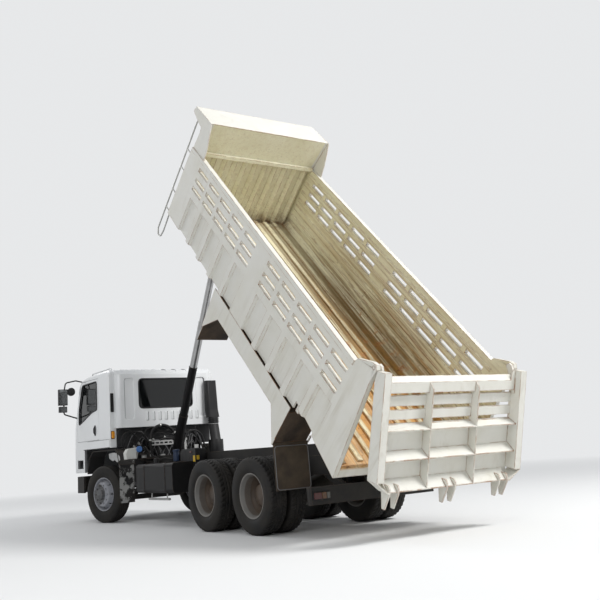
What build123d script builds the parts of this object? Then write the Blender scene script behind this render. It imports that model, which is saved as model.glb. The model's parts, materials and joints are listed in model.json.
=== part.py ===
from build123d import *
import math
import os

# A 6x4 cab-over dump truck, standing with its load bed raised.
# X points forward, Y to the driver's left, Z up. The origin lies on the ground
# under the middle of the truck as it stands. All sizes are in millimetres.

os.makedirs("parts", exist_ok=True)

# Wheels and axles
front_axle_x = 3510
wheelbase = 4110
bogie_spacing = 1320
tyre_diameter = 1045
tyre_width = 290
rim_diameter = 597
front_track = 2100
twin_spacing = tyre_width + 40
rear_outer_face = tyre_width + twin_spacing + 615
kingpin_y = 840
steer_rest = 15

# Frame
rail_height = 260
rail_flange = 80
rail_sheet = 10
rail_top_z = 1000
frame_width = 860
frame_front = 1250
frame_rear = 6310
subframe_height = 160

# Load bed, drawn lowered and then raised about its rear hinge
bed_length = 5970
bed_width = 2440
bed_height = 1410
bed_base_z = 1450
bed_overhang = 1780
side_thickness = 70
floor_top = 190
floor_sheet = 60
bed_hinge_forward = 766
bed_hinge_drop = 443
bed_tilt = 48.8
bay_pitch = 465
bay_count = 5
runner_clearance = 10
bearer_low = 30
bearer_pitch = 450
front_wall_u = 5710
rib_count = 11
rib_depth = 80
rib_flank = 45
strip_width = 80
strip_height = 28
side_strip = 12
cross_rail = 70
slot_length = 370
slot_height = 65
pocket_shift = 55
pocket_length = 350
pocket_top = 690
pocket_depth = 42
rail_bulge = 14
gate_pin = 44
hoist_fork = 116
hoist_pin = 60
guard_y = 640
ladder_y = 1191.7
ladder_tube = 28
flap_rod = 12
flap_sheet = 12
flap_gap = 4

# Tailgate
gate_pin_forward = 270
gate_pin_height = 1555
gate_slant = 9.3
gate_depth = 170
gate_standoff = 30
gate_length = 1420
gate_swing = 22.7
gate_sheet = 16
gate_plate = 14
post_inner = 1110
stiffener_y = 395

# Hoist cylinder
hoist_base_x = -790
hoist_base_z = 900
hoist_pin_forward = 6330
hoist_pin_height = 720
hoist_barrel = 1120
hoist_diameters = (176, 158, 142, 126, 112, 98)
hoist_strokes = (0, 980, 1870, 2760, 3650, 4540)

# Cab
cab_width = 2330
cab_wall = 50
cab_floor_z = 1500
cab_sill_z = 1540
cab_head_z = 2745
cab_rear = -640
cab_pillar = -500
cab_box_half = 1070
cab_box_bottom = 1725
cab_corner = 110
cab_edge = 55
arch_lip = 25
roof_ribs = 8
roof_rib_pitch = 230
roof_rib_height = 12
grille_slots = 5
grille_pitch = 86
grille_width = 1300
step_forward = 1060
step_length = 300
step_opening = 180
step_depth = 150
lamp_y = 850
lamp_width = 300
lamp_height = 150
lamp_face = 1392
door_rear = 60
door_front = 1200
door_head = 960
door_gap = 6
cab_pivot_x = 1330
cab_pivot_z = 970
cab_pivot_y = 400
cab_pin = 28

# Axle details
kingpin = 50
kingpin_boss = 120
spring_y = 470
bogie_spring_y = 520
rear_axle_half = 720
pinion_reach = 350

hub_radius = 150
stub = 76
rear_stub = 55
rim_dish = twin_spacing / 2

# Bumper, mudguards, underrun beam and air intake
bumper_front = 1450
bumper_bottom = 540
bumper_top = 860
guard_inner_y = 780
guard_outer_y = 1105
flap_width = 300
flap_height = 690
underrun_behind = 6600
underrun_z = 510
intake_x = -760
intake_y = 1000
intake_split_z = 1720
filter_x = -905
filter_y = 940

# Mud flaps
flap_forward = 1172
flap_drop = 612
flap_inner_y = 600
flap_length = 610

# Brackets between frame, bed and hoist
cradle_y = frame_width / 2 - 90
hinge_shaft = 80
hinge_shaft_y = 485

rear_axle_1_x = front_axle_x - wheelbase
rear_axle_2_x = rear_axle_1_x - bogie_spacing
bed_rear_x = rear_axle_2_x - bed_overhang
axle_z = tyre_diameter / 2
bogie_x = (rear_axle_1_x + rear_axle_2_x) / 2
rail_bottom_z = rail_top_z - rail_height
rail_rear_x = front_axle_x - frame_rear
subframe_top_z = rail_top_z + subframe_height
hinge_x = bed_rear_x + bed_hinge_forward
hinge_z = bed_base_z - bed_hinge_drop
runner_bottom_z = subframe_top_z + runner_clearance
half_bed = bed_width / 2
underrun_x = front_axle_x - underrun_behind
inner_bed = half_bed - side_thickness
half_cab = cab_width / 2
rail_y = frame_width / 2
twin_middle = rear_outer_face - tyre_width / 2 - twin_spacing / 2
spindle_end = twin_middle + 112


def turned_about(x, z, degrees):
    """A turn in the XZ plane about the transverse axis through x, z; nose up is positive."""
    return Pos(x, 0, z) * Rot(0, -degrees, 0) * Pos(-x, 0, -z)


bed_raised = turned_about(hinge_x, hinge_z, bed_tilt)


def bx(u):
    """X of a point u in front of the bed's rear lower corner."""
    return bed_rear_x + u


def bz(w):
    """Z of a point w above the bed's lower edge."""
    return bed_base_z + w


def fx(x):
    """X of a point x in front of the front axle."""
    return front_axle_x + x


pieces = []


def keep(builder, name):
    builder.part.label = name
    pieces.append(builder.part)
    export_step(builder.part, f"parts/{name}.step")


# Chassis rails: two C sections with their flanges turned inwards
with BuildPart() as chassis_rails:
    with BuildSketch(Plane.YZ.offset(fx(-frame_rear))) as rail_section:
        with Locations((rail_y - rail_flange / 2, rail_top_z - rail_height / 2)):
            Rectangle(rail_flange, rail_height)
        with Locations((rail_y - rail_flange / 2 - rail_sheet, rail_top_z - rail_height / 2)):
            Rectangle(rail_flange, rail_height - 2 * rail_sheet, mode=Mode.SUBTRACT)
        mirror(about=Plane.YZ)
    extrude(amount=frame_rear + frame_front)
    for side in (1, -1):
        with BuildSketch(Plane.XZ.offset(-side * cab_pivot_y)) as pivot_bracket:
            with BuildLine():
                Polyline((fx(frame_front) - 60, rail_top_z), (fx(cab_pivot_x) - 10, cab_pivot_z + 28),
                         (fx(cab_pivot_x) - 12, cab_pivot_z - 26), (fx(frame_front) - 60, rail_top_z - 130), close=True)
            make_face()
            with Locations((fx(cab_pivot_x), cab_pivot_z)):
                Circle(32)
        extrude(amount=15, both=True)
        with Locations((fx(cab_pivot_x), side * (cab_pivot_y + 30), cab_pivot_z)):
            Cylinder(cab_pin / 2, 90, rotation=(90, 0, 0))
keep(chassis_rails, "chassis_rails")

# Cross-members between the rails' webs
cross_xs = (1090, -1330, -2130, -3030, -3700, -4765, -5500, -6120)
with BuildPart() as chassis_crossmembers:
    for cross_x in cross_xs:
        with BuildSketch(Plane.XZ.offset(-(rail_y - rail_sheet))) as channel:
            with Locations((fx(cross_x), rail_bottom_z + rail_height / 2)):
                Rectangle(90, 170)
            with Locations((fx(cross_x) - 8, rail_bottom_z + rail_height / 2)):
                Rectangle(90, 154, mode=Mode.SUBTRACT)
        extrude(amount=2 * (rail_y - rail_sheet))
keep(chassis_crossmembers, "chassis_crossmembers")

# Body subframe on the rails, with the hoist's cradle in front and the hinge shaft behind
subframe_front = fx(-640)
subframe_rear = hinge_x + 160
with BuildPart() as bed_subframe:
    for side in (1, -1):
        with Locations(((subframe_front + subframe_rear) / 2, side * (rail_y - 40), rail_top_z + subframe_height / 2)):
            Box(subframe_front - subframe_rear, 80, subframe_height)
    for cross_x in (-1500, -2700, -3900, -5000, -6000):
        with Locations((fx(cross_x), 0, rail_top_z + 70)):
            Box(80, frame_width - 160, 100)
    with Locations((fx(hoist_base_x), 0, hoist_base_z)):
        Cylinder(45, 2 * cradle_y, rotation=(90, 0, 0))
    for side in (1, -1):
        with Locations((fx(hoist_base_x), side * (cradle_y + 40), rail_top_z + 10)):
            Box(240, 2 * (rail_y - cradle_y - 40), 20)
        with BuildSketch(Plane.XZ.offset(-side * (cradle_y - 10))) as cheek:
            with BuildLine():
                Polyline((fx(hoist_base_x) - 110, rail_top_z + 20), (fx(hoist_base_x) + 110, rail_top_z + 20),
                         (fx(hoist_base_x) + 60, hoist_base_z - 60), (fx(hoist_base_x) - 60, hoist_base_z - 60),
                         close=True)
            make_face()
        extrude(amount=10, both=True)
    with Locations((hinge_x, 0, hinge_z)):
        Cylinder(hinge_shaft / 2, 2 * hinge_shaft_y, rotation=(90, 0, 0))
    for side in (1, -1):
        with BuildSketch(Plane.XZ.offset(-side * (rail_y - 40))) as ear:
            with BuildLine():
                Polyline((hinge_x - 90, hinge_z - 70), (hinge_x - 40, hinge_z - 110), (rail_rear_x, rail_bottom_z + 40),
                         (rail_rear_x, rail_top_z), (hinge_x + 300, rail_top_z), (hinge_x + 300, rail_top_z + 60),
                         (hinge_x + 60, hinge_z + 85), (hinge_x - 60, hinge_z + 85), close=True)
            make_face()
        extrude(amount=40, both=True)
keep(bed_subframe, "bed_subframe")

# Drop-beam front axle with its kingpin bosses
with BuildPart() as front_axle_beam:
    with BuildSketch(Plane.YZ.offset(fx(-55))) as beam_outline:
        with BuildLine():
            Polyline((-kingpin_y - 20, axle_z - 35), (-kingpin_y + 150, axle_z - 45), (-kingpin_y + 260, axle_z - 150),
                     (kingpin_y - 260, axle_z - 150), (kingpin_y - 150, axle_z - 45), (kingpin_y + 20, axle_z - 35),
                     (kingpin_y + 20, axle_z + 35), (kingpin_y - 110, axle_z + 45), (kingpin_y - 250, axle_z - 55),
                     (-kingpin_y + 250, axle_z - 55), (-kingpin_y + 110, axle_z + 45), (-kingpin_y - 20, axle_z + 35),
                     close=True)
        make_face()
    extrude(amount=110)
    for side in (1, -1):
        with Locations((fx(0), side * kingpin_y, axle_z)):
            Cylinder(kingpin_boss / 2, 96)
            Hole(kingpin / 2)
keep(front_axle_beam, "front_axle_beam")

# Leaf springs: a pack over the front axle on each side, and one over the bogie on each side
with BuildPart() as leaf_springs:
    for side in (1, -1):
        with BuildSketch(Plane.XZ.offset(-side * spring_y)) as front_pack:
            with BuildLine():
                Polyline((fx(-720), rail_bottom_z - 70), (fx(-620), rail_bottom_z - 70), (fx(-120), axle_z - 25),
                         (fx(-60), axle_z - 55), (fx(60), axle_z - 55), (fx(120), axle_z - 25),
                         (fx(620), rail_bottom_z - 70), (fx(720), rail_bottom_z - 70), (fx(720), rail_bottom_z),
                         (fx(660), rail_bottom_z), (fx(640), rail_bottom_z - 45), (fx(100), axle_z + 50),
                         (fx(-100), axle_z + 50), (fx(-640), rail_bottom_z - 45), (fx(-660), rail_bottom_z),
                         (fx(-720), rail_bottom_z), close=True)
            make_face()
        extrude(amount=45, both=True)
        with BuildSketch(Plane.XZ.offset(-side * bogie_spring_y)) as rear_pack:
            with BuildLine():
                Polyline((bogie_x - 660, axle_z + 150), (bogie_x - 560, axle_z + 150), (bogie_x - 90, axle_z + 60),
                         (bogie_x - 60, axle_z - 20), (bogie_x + 60, axle_z - 20), (bogie_x + 90, axle_z + 60),
                         (bogie_x + 560, axle_z + 150), (bogie_x + 660, axle_z + 150), (bogie_x + 660, axle_z + 190),
                         (bogie_x + 560, axle_z + 200), (bogie_x + 150, axle_z + 260), (bogie_x - 150, axle_z + 260),
                         (bogie_x - 560, axle_z + 200), (bogie_x - 660, axle_z + 190), close=True)
            make_face()
        extrude(amount=45, both=True)
        with Locations((bogie_x, side * (rail_y + 30), rail_bottom_z + 60)):
            Box(260, 60, 280)
    for side in (1, -1):
        with Locations((bogie_x, side * (rail_y + 25), axle_z + 20)):
            Box(120, 90, 90)
keep(leaf_springs, "leaf_springs")

# Drive axles: a banjo housing with tapered tubes out to the hubs
with BuildPart() as rear_axles:
    for axle_x in (rear_axle_1_x, rear_axle_2_x):
        with BuildSketch(Plane.XY.offset(axle_z)) as axle_outline:
            with BuildLine():
                Polyline((axle_x, -rear_axle_half), (axle_x + 55, -rear_axle_half), (axle_x + 70, -330),
                         (axle_x + 175, -170), (axle_x + 215, 0), (axle_x + 175, 170), (axle_x + 70, 330),
                         (axle_x + 55, rear_axle_half), (axle_x, rear_axle_half), close=True)
            make_face()
        revolve(axis=Axis((axle_x, 0, axle_z), (0, 1, 0)))
        with Locations((axle_x + pinion_reach - 100, 0, axle_z)):
            Cylinder(80, 200, rotation=(0, 90, 0))
        for side in (1, -1):
            with Locations((axle_x, side * bogie_spring_y, axle_z + 100)):
                Box(130, 100, 100)
            with Locations((axle_x, side * (rear_axle_half + spindle_end) / 2, axle_z)):
                Cylinder(rear_stub, spindle_end - rear_axle_half + 20, rotation=(90, 0, 0))
keep(rear_axles, "rear_axles")

# Propeller shafts: gearbox to the first drive axle, and on to the second
shaft_front = (fx(-1235), 0, 690)
shaft_rear = (rear_axle_1_x + pinion_reach + 4, 0, axle_z)
with BuildPart() as propshafts:
    with BuildSketch(Plane(origin=shaft_front, z_dir=Vector(*shaft_rear) - Vector(*shaft_front))) as shaft_end:
        Circle(55)
    extrude(amount=(Vector(*shaft_rear) - Vector(*shaft_front)).length)
    with BuildSketch(Plane.YZ.offset(rear_axle_2_x + pinion_reach)) as link_end:
        with Locations((0, axle_z)):
            Circle(50)
    extrude(amount=bogie_spacing - pinion_reach - 215)
keep(propshafts, "propshafts")

# Engine and gearbox, one plain mass under the cab
with BuildPart() as engine:
    with BuildSketch(Plane.YZ.offset(fx(-450))) as block_face:
        with Locations((0, 930)):
            Rectangle(560, 640)
        chamfer(block_face.vertices(), 70)
    extrude(amount=1270)
    with BuildSketch(Plane.YZ.offset(fx(-450))) as bell_face:
        with Locations((0, 740)):
            Circle(210)
    with BuildSketch(Plane.YZ.offset(fx(-720))) as box_face:
        with Locations((0, 700)):
            Circle(150)
    loft()
    with Locations((fx(-970), 0, 690)):
        Box(520, 280, 260)
    for side in (1, -1):
        for mount_x in (500, -300):
            with Locations((fx(mount_x), side * (rail_y - rail_sheet - 75), 900)):
                Box(100, 149.4, 60)
keep(engine, "engine")

# Front bumper: a deep black beam with swept-back ends
with BuildPart() as front_bumper:
    with BuildSketch(Plane.XY.offset(bumper_bottom)) as bumper_plan:
        with BuildLine():
            Polyline((fx(900), -half_cab), (fx(1240), -half_cab), (fx(1400), -half_cab + 130), (fx(bumper_front), -700),
                     (fx(bumper_front), 700), (fx(1400), half_cab - 130), (fx(1240), half_cab), (fx(900), half_cab),
                     (fx(900), half_cab - 40), (fx(1200), half_cab - 40), (fx(1340), half_cab - 190),
                     (fx(1380), 600), (fx(1380), -600), (fx(1340), -half_cab + 190), (fx(1200), -half_cab + 40),
                     (fx(900), -half_cab + 40), close=True)
        make_face()
    extrude(amount=bumper_top - bumper_bottom)
    with BuildSketch(Plane.YZ.offset(fx(1360))) as air_openings:
        for side in (1, -1):
            with Locations((side * 430, (bumper_bottom + bumper_top) / 2)):
                RectangleRounded(360, 130, 40)
    extrude(amount=120, mode=Mode.SUBTRACT)
    with BuildSketch(Plane.YZ.offset(fx(lamp_face))) as lamp_pockets:
        for side in (1, -1):
            with Locations((side * lamp_y, (bumper_bottom + bumper_top) / 2)):
                RectangleRounded(lamp_width, lamp_height, 40)
    extrude(amount=80, mode=Mode.SUBTRACT)
    with BuildSketch(Plane.YZ.offset(fx(lamp_face))) as lamp_lenses:
        for side in (1, -1):
            with Locations((side * lamp_y, (bumper_bottom + bumper_top) / 2)):
                RectangleRounded(lamp_width - 24, lamp_height - 24, 30)
    extrude(amount=16, taper=20)
    for side in (1, -1):
        with Locations((fx(frame_front) + 67.5, side * (rail_y - 45), rail_bottom_z + 50)):
            Box(135, 60, 140)
keep(front_bumper, "front_bumper")

# Front mudguards: bands over the steered wheels, open below
with BuildPart() as front_mudguards:
    for side in (1, -1):
        with BuildSketch(Plane.XZ.offset(-side * (guard_inner_y + guard_outer_y) / 2)) as guard:
            with BuildLine():
                Polyline((fx(860), 900), (fx(700), 1240), (fx(560), 1340), (fx(-560), 1340), (fx(-640), 1290),
                         (fx(-740), 1040), (fx(-722), 1036), (fx(-622), 1275), (fx(-552), 1320), (fx(552), 1320),
                         (fx(684), 1226), (fx(838), 900), close=True)
            make_face()
        extrude(amount=(guard_outer_y - guard_inner_y) / 2, both=True)
        with Locations((fx(-645), side * 610, 1215)):
            Box(36, 2 * (guard_inner_y - 610), 36)
        with Locations((fx(-645), side * 455, 1090)):
            Box(36, 50, 286)
        with Locations((fx(-737), side * (guard_outer_y - flap_width / 2), 1050 - flap_height / 2)):
            Box(10, flap_width, flap_height)
keep(front_mudguards, "front_mudguards")

# Fuel tank on the left: a rounded box with two straps, hung from the rail
with BuildPart() as fuel_tank:
    with BuildSketch(Plane.YZ.offset(fx(-2860))) as tank_face:
        with Locations((785, 785)):
            RectangleRounded(630, 490, 60)
    extrude(amount=1400)
    for strap_x in (-1760, -2560):
        with BuildSketch(Plane.YZ.offset(fx(strap_x) - 30)) as strap:
            with Locations((785, 785)):
                RectangleRounded(642, 502, 66)
        extrude(amount=60)
        with Locations((fx(strap_x), 450, 820)):
            Box(60, 40, 200)
    with Locations((fx(-1900), 900, 1070)):
        Cylinder(48, 100)
    chamfer(fuel_tank.edges().group_by(Axis.Z)[-1], 10)
keep(fuel_tank, "fuel_tank")

# Battery box on the right
with BuildPart() as battery_box:
    with Locations((fx(-1830), -770, 790)):
        Box(760, 600, 380)
    chamfer(battery_box.edges().filter_by(Axis.X), 30)
    with Locations((fx(-1830), -450, 880)):
        Box(500, 40, 120)
    with Locations((fx(-1830), -770, 985)):
        Box(800, 640, 20)
keep(battery_box, "battery_box")

# Compressed-air tanks hung below the right rail
with BuildPart() as air_tanks:
    for tank_y in (-560, -830):
        with Locations((fx(-2760), tank_y, 820)):
            Cylinder(125, 760, rotation=(0, 90, 0))
    with Locations((fx(-2760), -630, 960)):
        Box(60, 400, 40)
keep(air_tanks, "air_tanks")

# Silencer box with its outlet
with BuildPart() as silencer:
    with BuildSketch(Plane.YZ.offset(fx(-1330))) as silencer_face:
        with Locations((-700, 640)):
            RectangleRounded(460, 380, 90)
    extrude(amount=520)
    with Locations((fx(-1070), -455, 790)):
        Box(60, 50, 120)
keep(silencer, "silencer")

# Rear underrun beam on two arms
with BuildPart() as rear_underrun:
    with Locations((underrun_x, 0, underrun_z)):
        Box(90, 2200, 220)
    chamfer(rear_underrun.edges().filter_by(Axis.Z), 25)
    for side in (1, -1):
        with BuildSketch(Plane.XZ.offset(-side * (rail_y - 40))) as underrun_arm:
            with BuildLine():
                Polyline((rail_rear_x + 30, rail_bottom_z), (rail_rear_x + 230, rail_bottom_z),
                         (underrun_x + 45, underrun_z - 60), (underrun_x + 45, underrun_z + 80), close=True)
            make_face()
        extrude(amount=30, both=True)
keep(rear_underrun, "rear_underrun")

# Air duct that carries on from the cab's intake down to the filter
with BuildPart() as air_duct:
    with BuildSketch(Plane.XY.offset(intake_split_z - 8)) as duct_top:
        with Locations((fx(intake_x), -intake_y)):
            Ellipse(75, 105)
    with BuildSketch(Plane.XY.offset(1400)) as duct_bottom:
        with Locations((fx(filter_x), -filter_y)):
            Ellipse(90, 110)
    loft()
    with Locations((fx(filter_x), -filter_y, 1250)):
        Cylinder(150, 300)
    with Locations((fx(filter_x), -(rail_y + 200), 1080)):
        Box(120, 400, 60)
keep(air_duct, "air_duct")


def tyre_outline(centre):
    """Half section of a tyre whose middle is at centre along the axle, as (radius, along) points."""
    r, b, h = tyre_diameter / 2, rim_diameter / 2, tyre_width / 2
    half = [(b - 4, 90), (b + 8, h - 28), (b + 90, h), (r - 75, h - 4), (r - 18, h - 22), (r, h - 45)]
    return [(p, centre - q) for p, q in half] + [(p, centre + q) for p, q in reversed(half)]


def rim_outline(centre):
    """Half section of a drop-centre rim, as (radius, along) points."""
    b, h = rim_diameter / 2, tyre_width / 2
    outer = [(b - 4, 90), (b + 8, h - 28), (b + 8, h - 20), (b - 8, h - 24), (b - 22, h - 58)]
    return ([(b - 4, centre - 90), (b - 4, centre + 90)] + [(p, centre + q) for p, q in outer[1:]]
            + [(b - 34, centre + 60), (b - 34, centre - 60)] + [(p, centre - q) for p, q in reversed(outer[1:])])


def disc_outline(centre, face):
    """Half section of a rim's dished disc; face is 1 where it bulges towards +along."""
    b = rim_diameter / 2
    return [(b - 34, centre + face * 30), (b - 34, centre + face * 48), (215, centre + face * rim_dish),
            (hub_radius, centre + face * rim_dish), (hub_radius, centre + face * (rim_dish - 14)),
            (205, centre + face * (rim_dish - 14))]


def steered(name):
    """The turn of a front wheel about its kingpin as the truck stands."""
    y = kingpin_y if name == "left" else -kingpin_y
    return Pos(fx(0), y, 0) * Rot(0, 0, steer_rest) * Pos(-fx(0), -y, 0)


sides = (("left", 1), ("right", -1))

# Steering knuckles: fork, kingpin, brake drum, stub axle and steering arm
for name, side in sides:
    with BuildPart() as knuckle:
        with Locations((fx(0), side * (kingpin_y + 86), axle_z)):
            Box(150, 36, 290)
        for height in (axle_z + 100, axle_z - 100):
            with Locations((fx(0), side * kingpin_y, height)):
                Cylinder(55, 90)
            with Locations((fx(0), side * (kingpin_y + 35), height)):
                Box(100, 70, 90)
        with Locations((fx(0), side * kingpin_y, axle_z)):
            Cylinder(kingpin / 2 - 1, 200)
        with Locations((fx(0), side * (kingpin_y + 160), axle_z)):
            Cylinder(205, 120, rotation=(90, 0, 0))
        with Locations((fx(0), side * (kingpin_y + 280), axle_z)):
            Cylinder(stub / 2, 120, rotation=(90, 0, 0))
        with Locations((fx(-150), side * (kingpin_y + 40), axle_z - 120)):
            Box(200, 40, 40)
    knuckle.part = steered(name) * knuckle.part
    keep(knuckle, f"knuckle_{name}")

# Front wheels: dished rims with a hub and studs, and tyres
for name, side in sides:
    centre = side * front_track / 2
    axle_line = Axis((fx(0), 0, axle_z), (0, 1, 0))
    with BuildPart() as front_rim:
        with BuildSketch(Plane.XY.offset(axle_z)) as rim_half:
            for outline in (rim_outline(centre), disc_outline(centre, side)):
                with BuildLine():
                    Polyline([(fx(p), q) for p, q in outline], close=True)
                make_face()
            with BuildLine():
                Polyline([(fx(p), centre + side * q) for p, q in
                          ((stub / 2 + 0.3, 25), (hub_radius, 25), (hub_radius, rim_dish - 14),
                           (hub_radius, rim_dish), (100, rim_dish + 4), (85, rim_dish + 60), (0, rim_dish + 70),
                           (0, rim_dish - 25), (stub / 2 + 0.3, rim_dish - 25))], close=True)
            make_face()
        revolve(axis=axle_line)
        with BuildSketch(Plane.XZ.offset(-centre - side * rim_dish)) as stud_circle:
            with Locations((fx(0), axle_z)):
                with PolarLocations(167, 10):
                    RegularPolygon(16, 6)
        extrude(amount=-side * 24)
        with BuildSketch(Plane.XZ.offset(-centre - side * (rim_dish + 30))) as vents:
            with Locations((fx(0), axle_z)):
                with PolarLocations(239, 8):
                    Circle(15)
        extrude(amount=side * 130, mode=Mode.SUBTRACT)
    front_rim.part = steered(name) * front_rim.part
    keep(front_rim, f"front_rim_{name}")
    with BuildPart() as front_tyre:
        with BuildSketch(Plane.XY.offset(axle_z)) as tyre_half:
            with BuildLine():
                Polyline([(fx(p), q) for p, q in tyre_outline(centre)], close=True)
            make_face()
        revolve(axis=axle_line)
    front_tyre.part = steered(name) * front_tyre.part
    keep(front_tyre, f"front_tyre_{name}")

# Rear twin wheels: two dished rims back to back on one hub, and their tyres
for number, axle_x in ((1, rear_axle_1_x), (2, rear_axle_2_x)):
    axle_line = Axis((axle_x, 0, axle_z), (0, 1, 0))
    for name, side in sides:
        outer, inner = side * (twin_middle + twin_spacing / 2), side * (twin_middle - twin_spacing / 2)
        with BuildPart() as rear_rims:
            with BuildSketch(Plane.XY.offset(axle_z)) as rims_half:
                for outline in (rim_outline(outer), rim_outline(inner), disc_outline(outer, -side),
                                disc_outline(inner, side)):
                    with BuildLine():
                        Polyline([(axle_x + p, q) for p, q in outline], close=True)
                    make_face()
                with BuildLine():
                    Polyline([(axle_x + p, side * (twin_middle + q)) for p, q in
                              ((rear_stub + 0.3, -100), (215, -100), (215, -20), (hub_radius, -14), (hub_radius, 14),
                               (150, 18), (140, 130), (60, 150), (0, 150), (0, 125), (rear_stub + 0.3, 125))],
                             close=True)
                make_face()
            revolve(axis=axle_line)
            with BuildSketch(Plane.XZ.offset(-side * (twin_middle + 14))) as nut_circle:
                with Locations((axle_x, axle_z)):
                    with PolarLocations(183, 10):
                        RegularPolygon(16, 6)
            extrude(amount=-side * 28)
        keep(rear_rims, f"rear_rims_{number}_{name}")
        with BuildPart() as rear_tyres:
            with BuildSketch(Plane.XY.offset(axle_z)) as tyres_half:
                for centre in (outer, inner):
                    with BuildLine():
                        Polyline([(axle_x + p, q) for p, q in tyre_outline(centre)], close=True)
                    make_face()
            revolve(axis=axle_line)
        keep(rear_tyres, f"rear_tyres_{number}_{name}")

# Cab: one hollow form, split where the real panels meet
cab_outline = [(cab_pillar, 1370), (cab_pillar, 2800), (-420, 2850), (600, 2835), (930, 2790), (1090, 2690),
               (1360, 1860), (1385, 1500), (1380, 930), (830, 930), (830, 1370)]
cab_inside = [(cab_pillar + cab_wall, cab_floor_z), (cab_pillar + cab_wall, 2775), (-410, 2800), (590, 2785),
              (905, 2742), (1045, 2665), (1308, 1852), (1330, cab_floor_z)]
cab_below = [(700, 900), (700, 1300), (880, 1420), (1330, 1420), (1328, 900)]
box_outline = [(cab_rear, cab_box_bottom), (cab_rear, 2745), (-570, 2825), (-420, 2850), (-300, 2848),
               (-300, cab_box_bottom)]
box_inside = [(cab_rear + cab_wall, cab_box_bottom + cab_wall), (cab_rear + cab_wall, 2730), (-550, 2790),
              (-410, 2808), (-290, 2805), (-290, cab_box_bottom + cab_wall)]
arch_lip_outline = [(865, 1371), (790, 1480), (640, 1534), (cab_pillar, 1534), (cab_pillar, 1371)]


def from_front(points):
    """Points given as (x from the front axle, z)."""
    return [(fx(p), q) for p, q in points]


with BuildPart() as cab_form:
    with BuildSketch(Plane.XZ) as cab_side:
        with BuildLine():
            Polyline(from_front(cab_outline), close=True)
        make_face()
    extrude(amount=half_cab, both=True)
    fillet([edge for edge in cab_form.faces().filter_by(Axis.Y).edges() if edge.center().X > fx(cab_pillar + 20)
            and (edge.center().Z > 1450 or edge.center().X > fx(1300))], cab_edge)
    with BuildSketch(Plane.XZ) as rear_box:
        with BuildLine():
            Polyline(from_front(box_outline), close=True)
        make_face()
    extrude(amount=cab_box_half, both=True)
    fillet(cab_form.edges().filter_by(Axis.Z).group_by(Axis.X)[0], cab_corner)
    for points, half_width in ((cab_inside, half_cab - cab_wall), (box_inside, cab_box_half - cab_wall - 60)):
        with BuildSketch(Plane.XZ) as cab_room:
            with BuildLine():
                Polyline(from_front(points), close=True)
            make_face()
        extrude(amount=half_width, both=True, mode=Mode.SUBTRACT)
    with BuildSketch(Plane.XZ) as cab_well:
        with BuildLine():
            Polyline(from_front(cab_below), close=True)
        make_face()
    extrude(amount=half_cab - cab_wall, both=True, mode=Mode.SUBTRACT)

front_region = [(700, 800), (700, 1369), (door_front, 1369), (door_front, 1900), (door_head, cab_head_z),
                (1500, cab_head_z), (1500, 800)]
floor_region = [(-700, 1369), (door_front, 1369), (door_front, cab_sill_z), (-700, cab_sill_z)]
back_region = [(-700, cab_sill_z), (door_rear, cab_sill_z), (door_rear, cab_head_z), (-700, cab_head_z)]
roof_region = [(-700, cab_head_z), (1500, cab_head_z), (1500, 2900), (-700, 2900)]
door_region = [(door_rear + door_gap, cab_sill_z + door_gap), (door_front - door_gap, cab_sill_z + door_gap),
               (door_front - door_gap, 1900), (door_head - door_gap, cab_head_z - door_gap),
               (door_rear + door_gap, cab_head_z - door_gap)]
door_window = [(130, 2130), (400, 2095), (1110, 1880), (1095, 2200), (885, 2680), (130, 2690)]

with BuildPart() as cab_floor:
    add(cab_form.part)
    with BuildSketch(Plane.XZ) as floor_cut:
        with BuildLine():
            Polyline(from_front(floor_region), close=True)
        make_face()
    extrude(amount=half_cab + 50, both=True, mode=Mode.INTERSECT)
    for side in (1, -1):
        with BuildSketch(Plane.XZ.offset(-side * half_cab)) as lip_face:
            with BuildLine():
                Polyline(from_front(arch_lip_outline), close=True)
            make_face()
        extrude(amount=-side * arch_lip, taper=25)
keep(cab_floor, "cab_floor")

with BuildPart() as cab_front_panel:
    add(cab_form.part)
    with BuildSketch(Plane.XZ) as front_cut:
        with BuildLine():
            Polyline(from_front(front_region), close=True)
        make_face()
    extrude(amount=half_cab + 50, both=True, mode=Mode.INTERSECT)
    with BuildSketch(Plane.XZ) as screen_cut:
        with BuildLine():
            Polyline(from_front([(1200, 1925), (1500, 1925), (1400, 2620), (950, 2620)]), close=True)
        make_face()
    extrude(amount=1010, both=True, mode=Mode.SUBTRACT)
    with BuildSketch(Plane.YZ.offset(fx(1362))) as grille:
        with Locations((0, 1270)):
            with GridLocations(0, grille_pitch, 1, grille_slots):
                RectangleRounded(grille_width, 0.6 * grille_pitch, 18)
    extrude(amount=60, mode=Mode.SUBTRACT)
    for side in (1, -1):
        with Locations((fx(step_forward), side * half_cab, 1000 + step_opening / 2)):
            Box(step_length, 2 * cab_wall + 20, step_opening, mode=Mode.SUBTRACT)
        with Locations((fx(step_forward), side * (half_cab - step_depth / 2), 1006)):
            Box(step_length + 20, step_depth, 12)
        with Locations((fx(cab_pivot_x), side * (cab_pivot_y + 25), cab_pivot_z)):
            Box(76, 110, 100, mode=Mode.SUBTRACT)
        with BuildSketch(Plane.XZ.offset(-side * (cab_pivot_y + 40))) as pivot_eye:
            with BuildLine():
                Polyline((fx(cab_pivot_x), cab_pivot_z + 30), (fx(cab_pivot_x) + 42, cab_pivot_z + 45),
                         (fx(cab_pivot_x) + 42, cab_pivot_z - 35), (fx(cab_pivot_x), cab_pivot_z - 30), close=True)
            make_face()
            with Locations((fx(cab_pivot_x), cab_pivot_z)):
                Circle(30)
                Circle(cab_pin / 2 + 0.3, mode=Mode.SUBTRACT)
        extrude(amount=15, both=True)
keep(cab_front_panel, "cab_front_panel")

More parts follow.
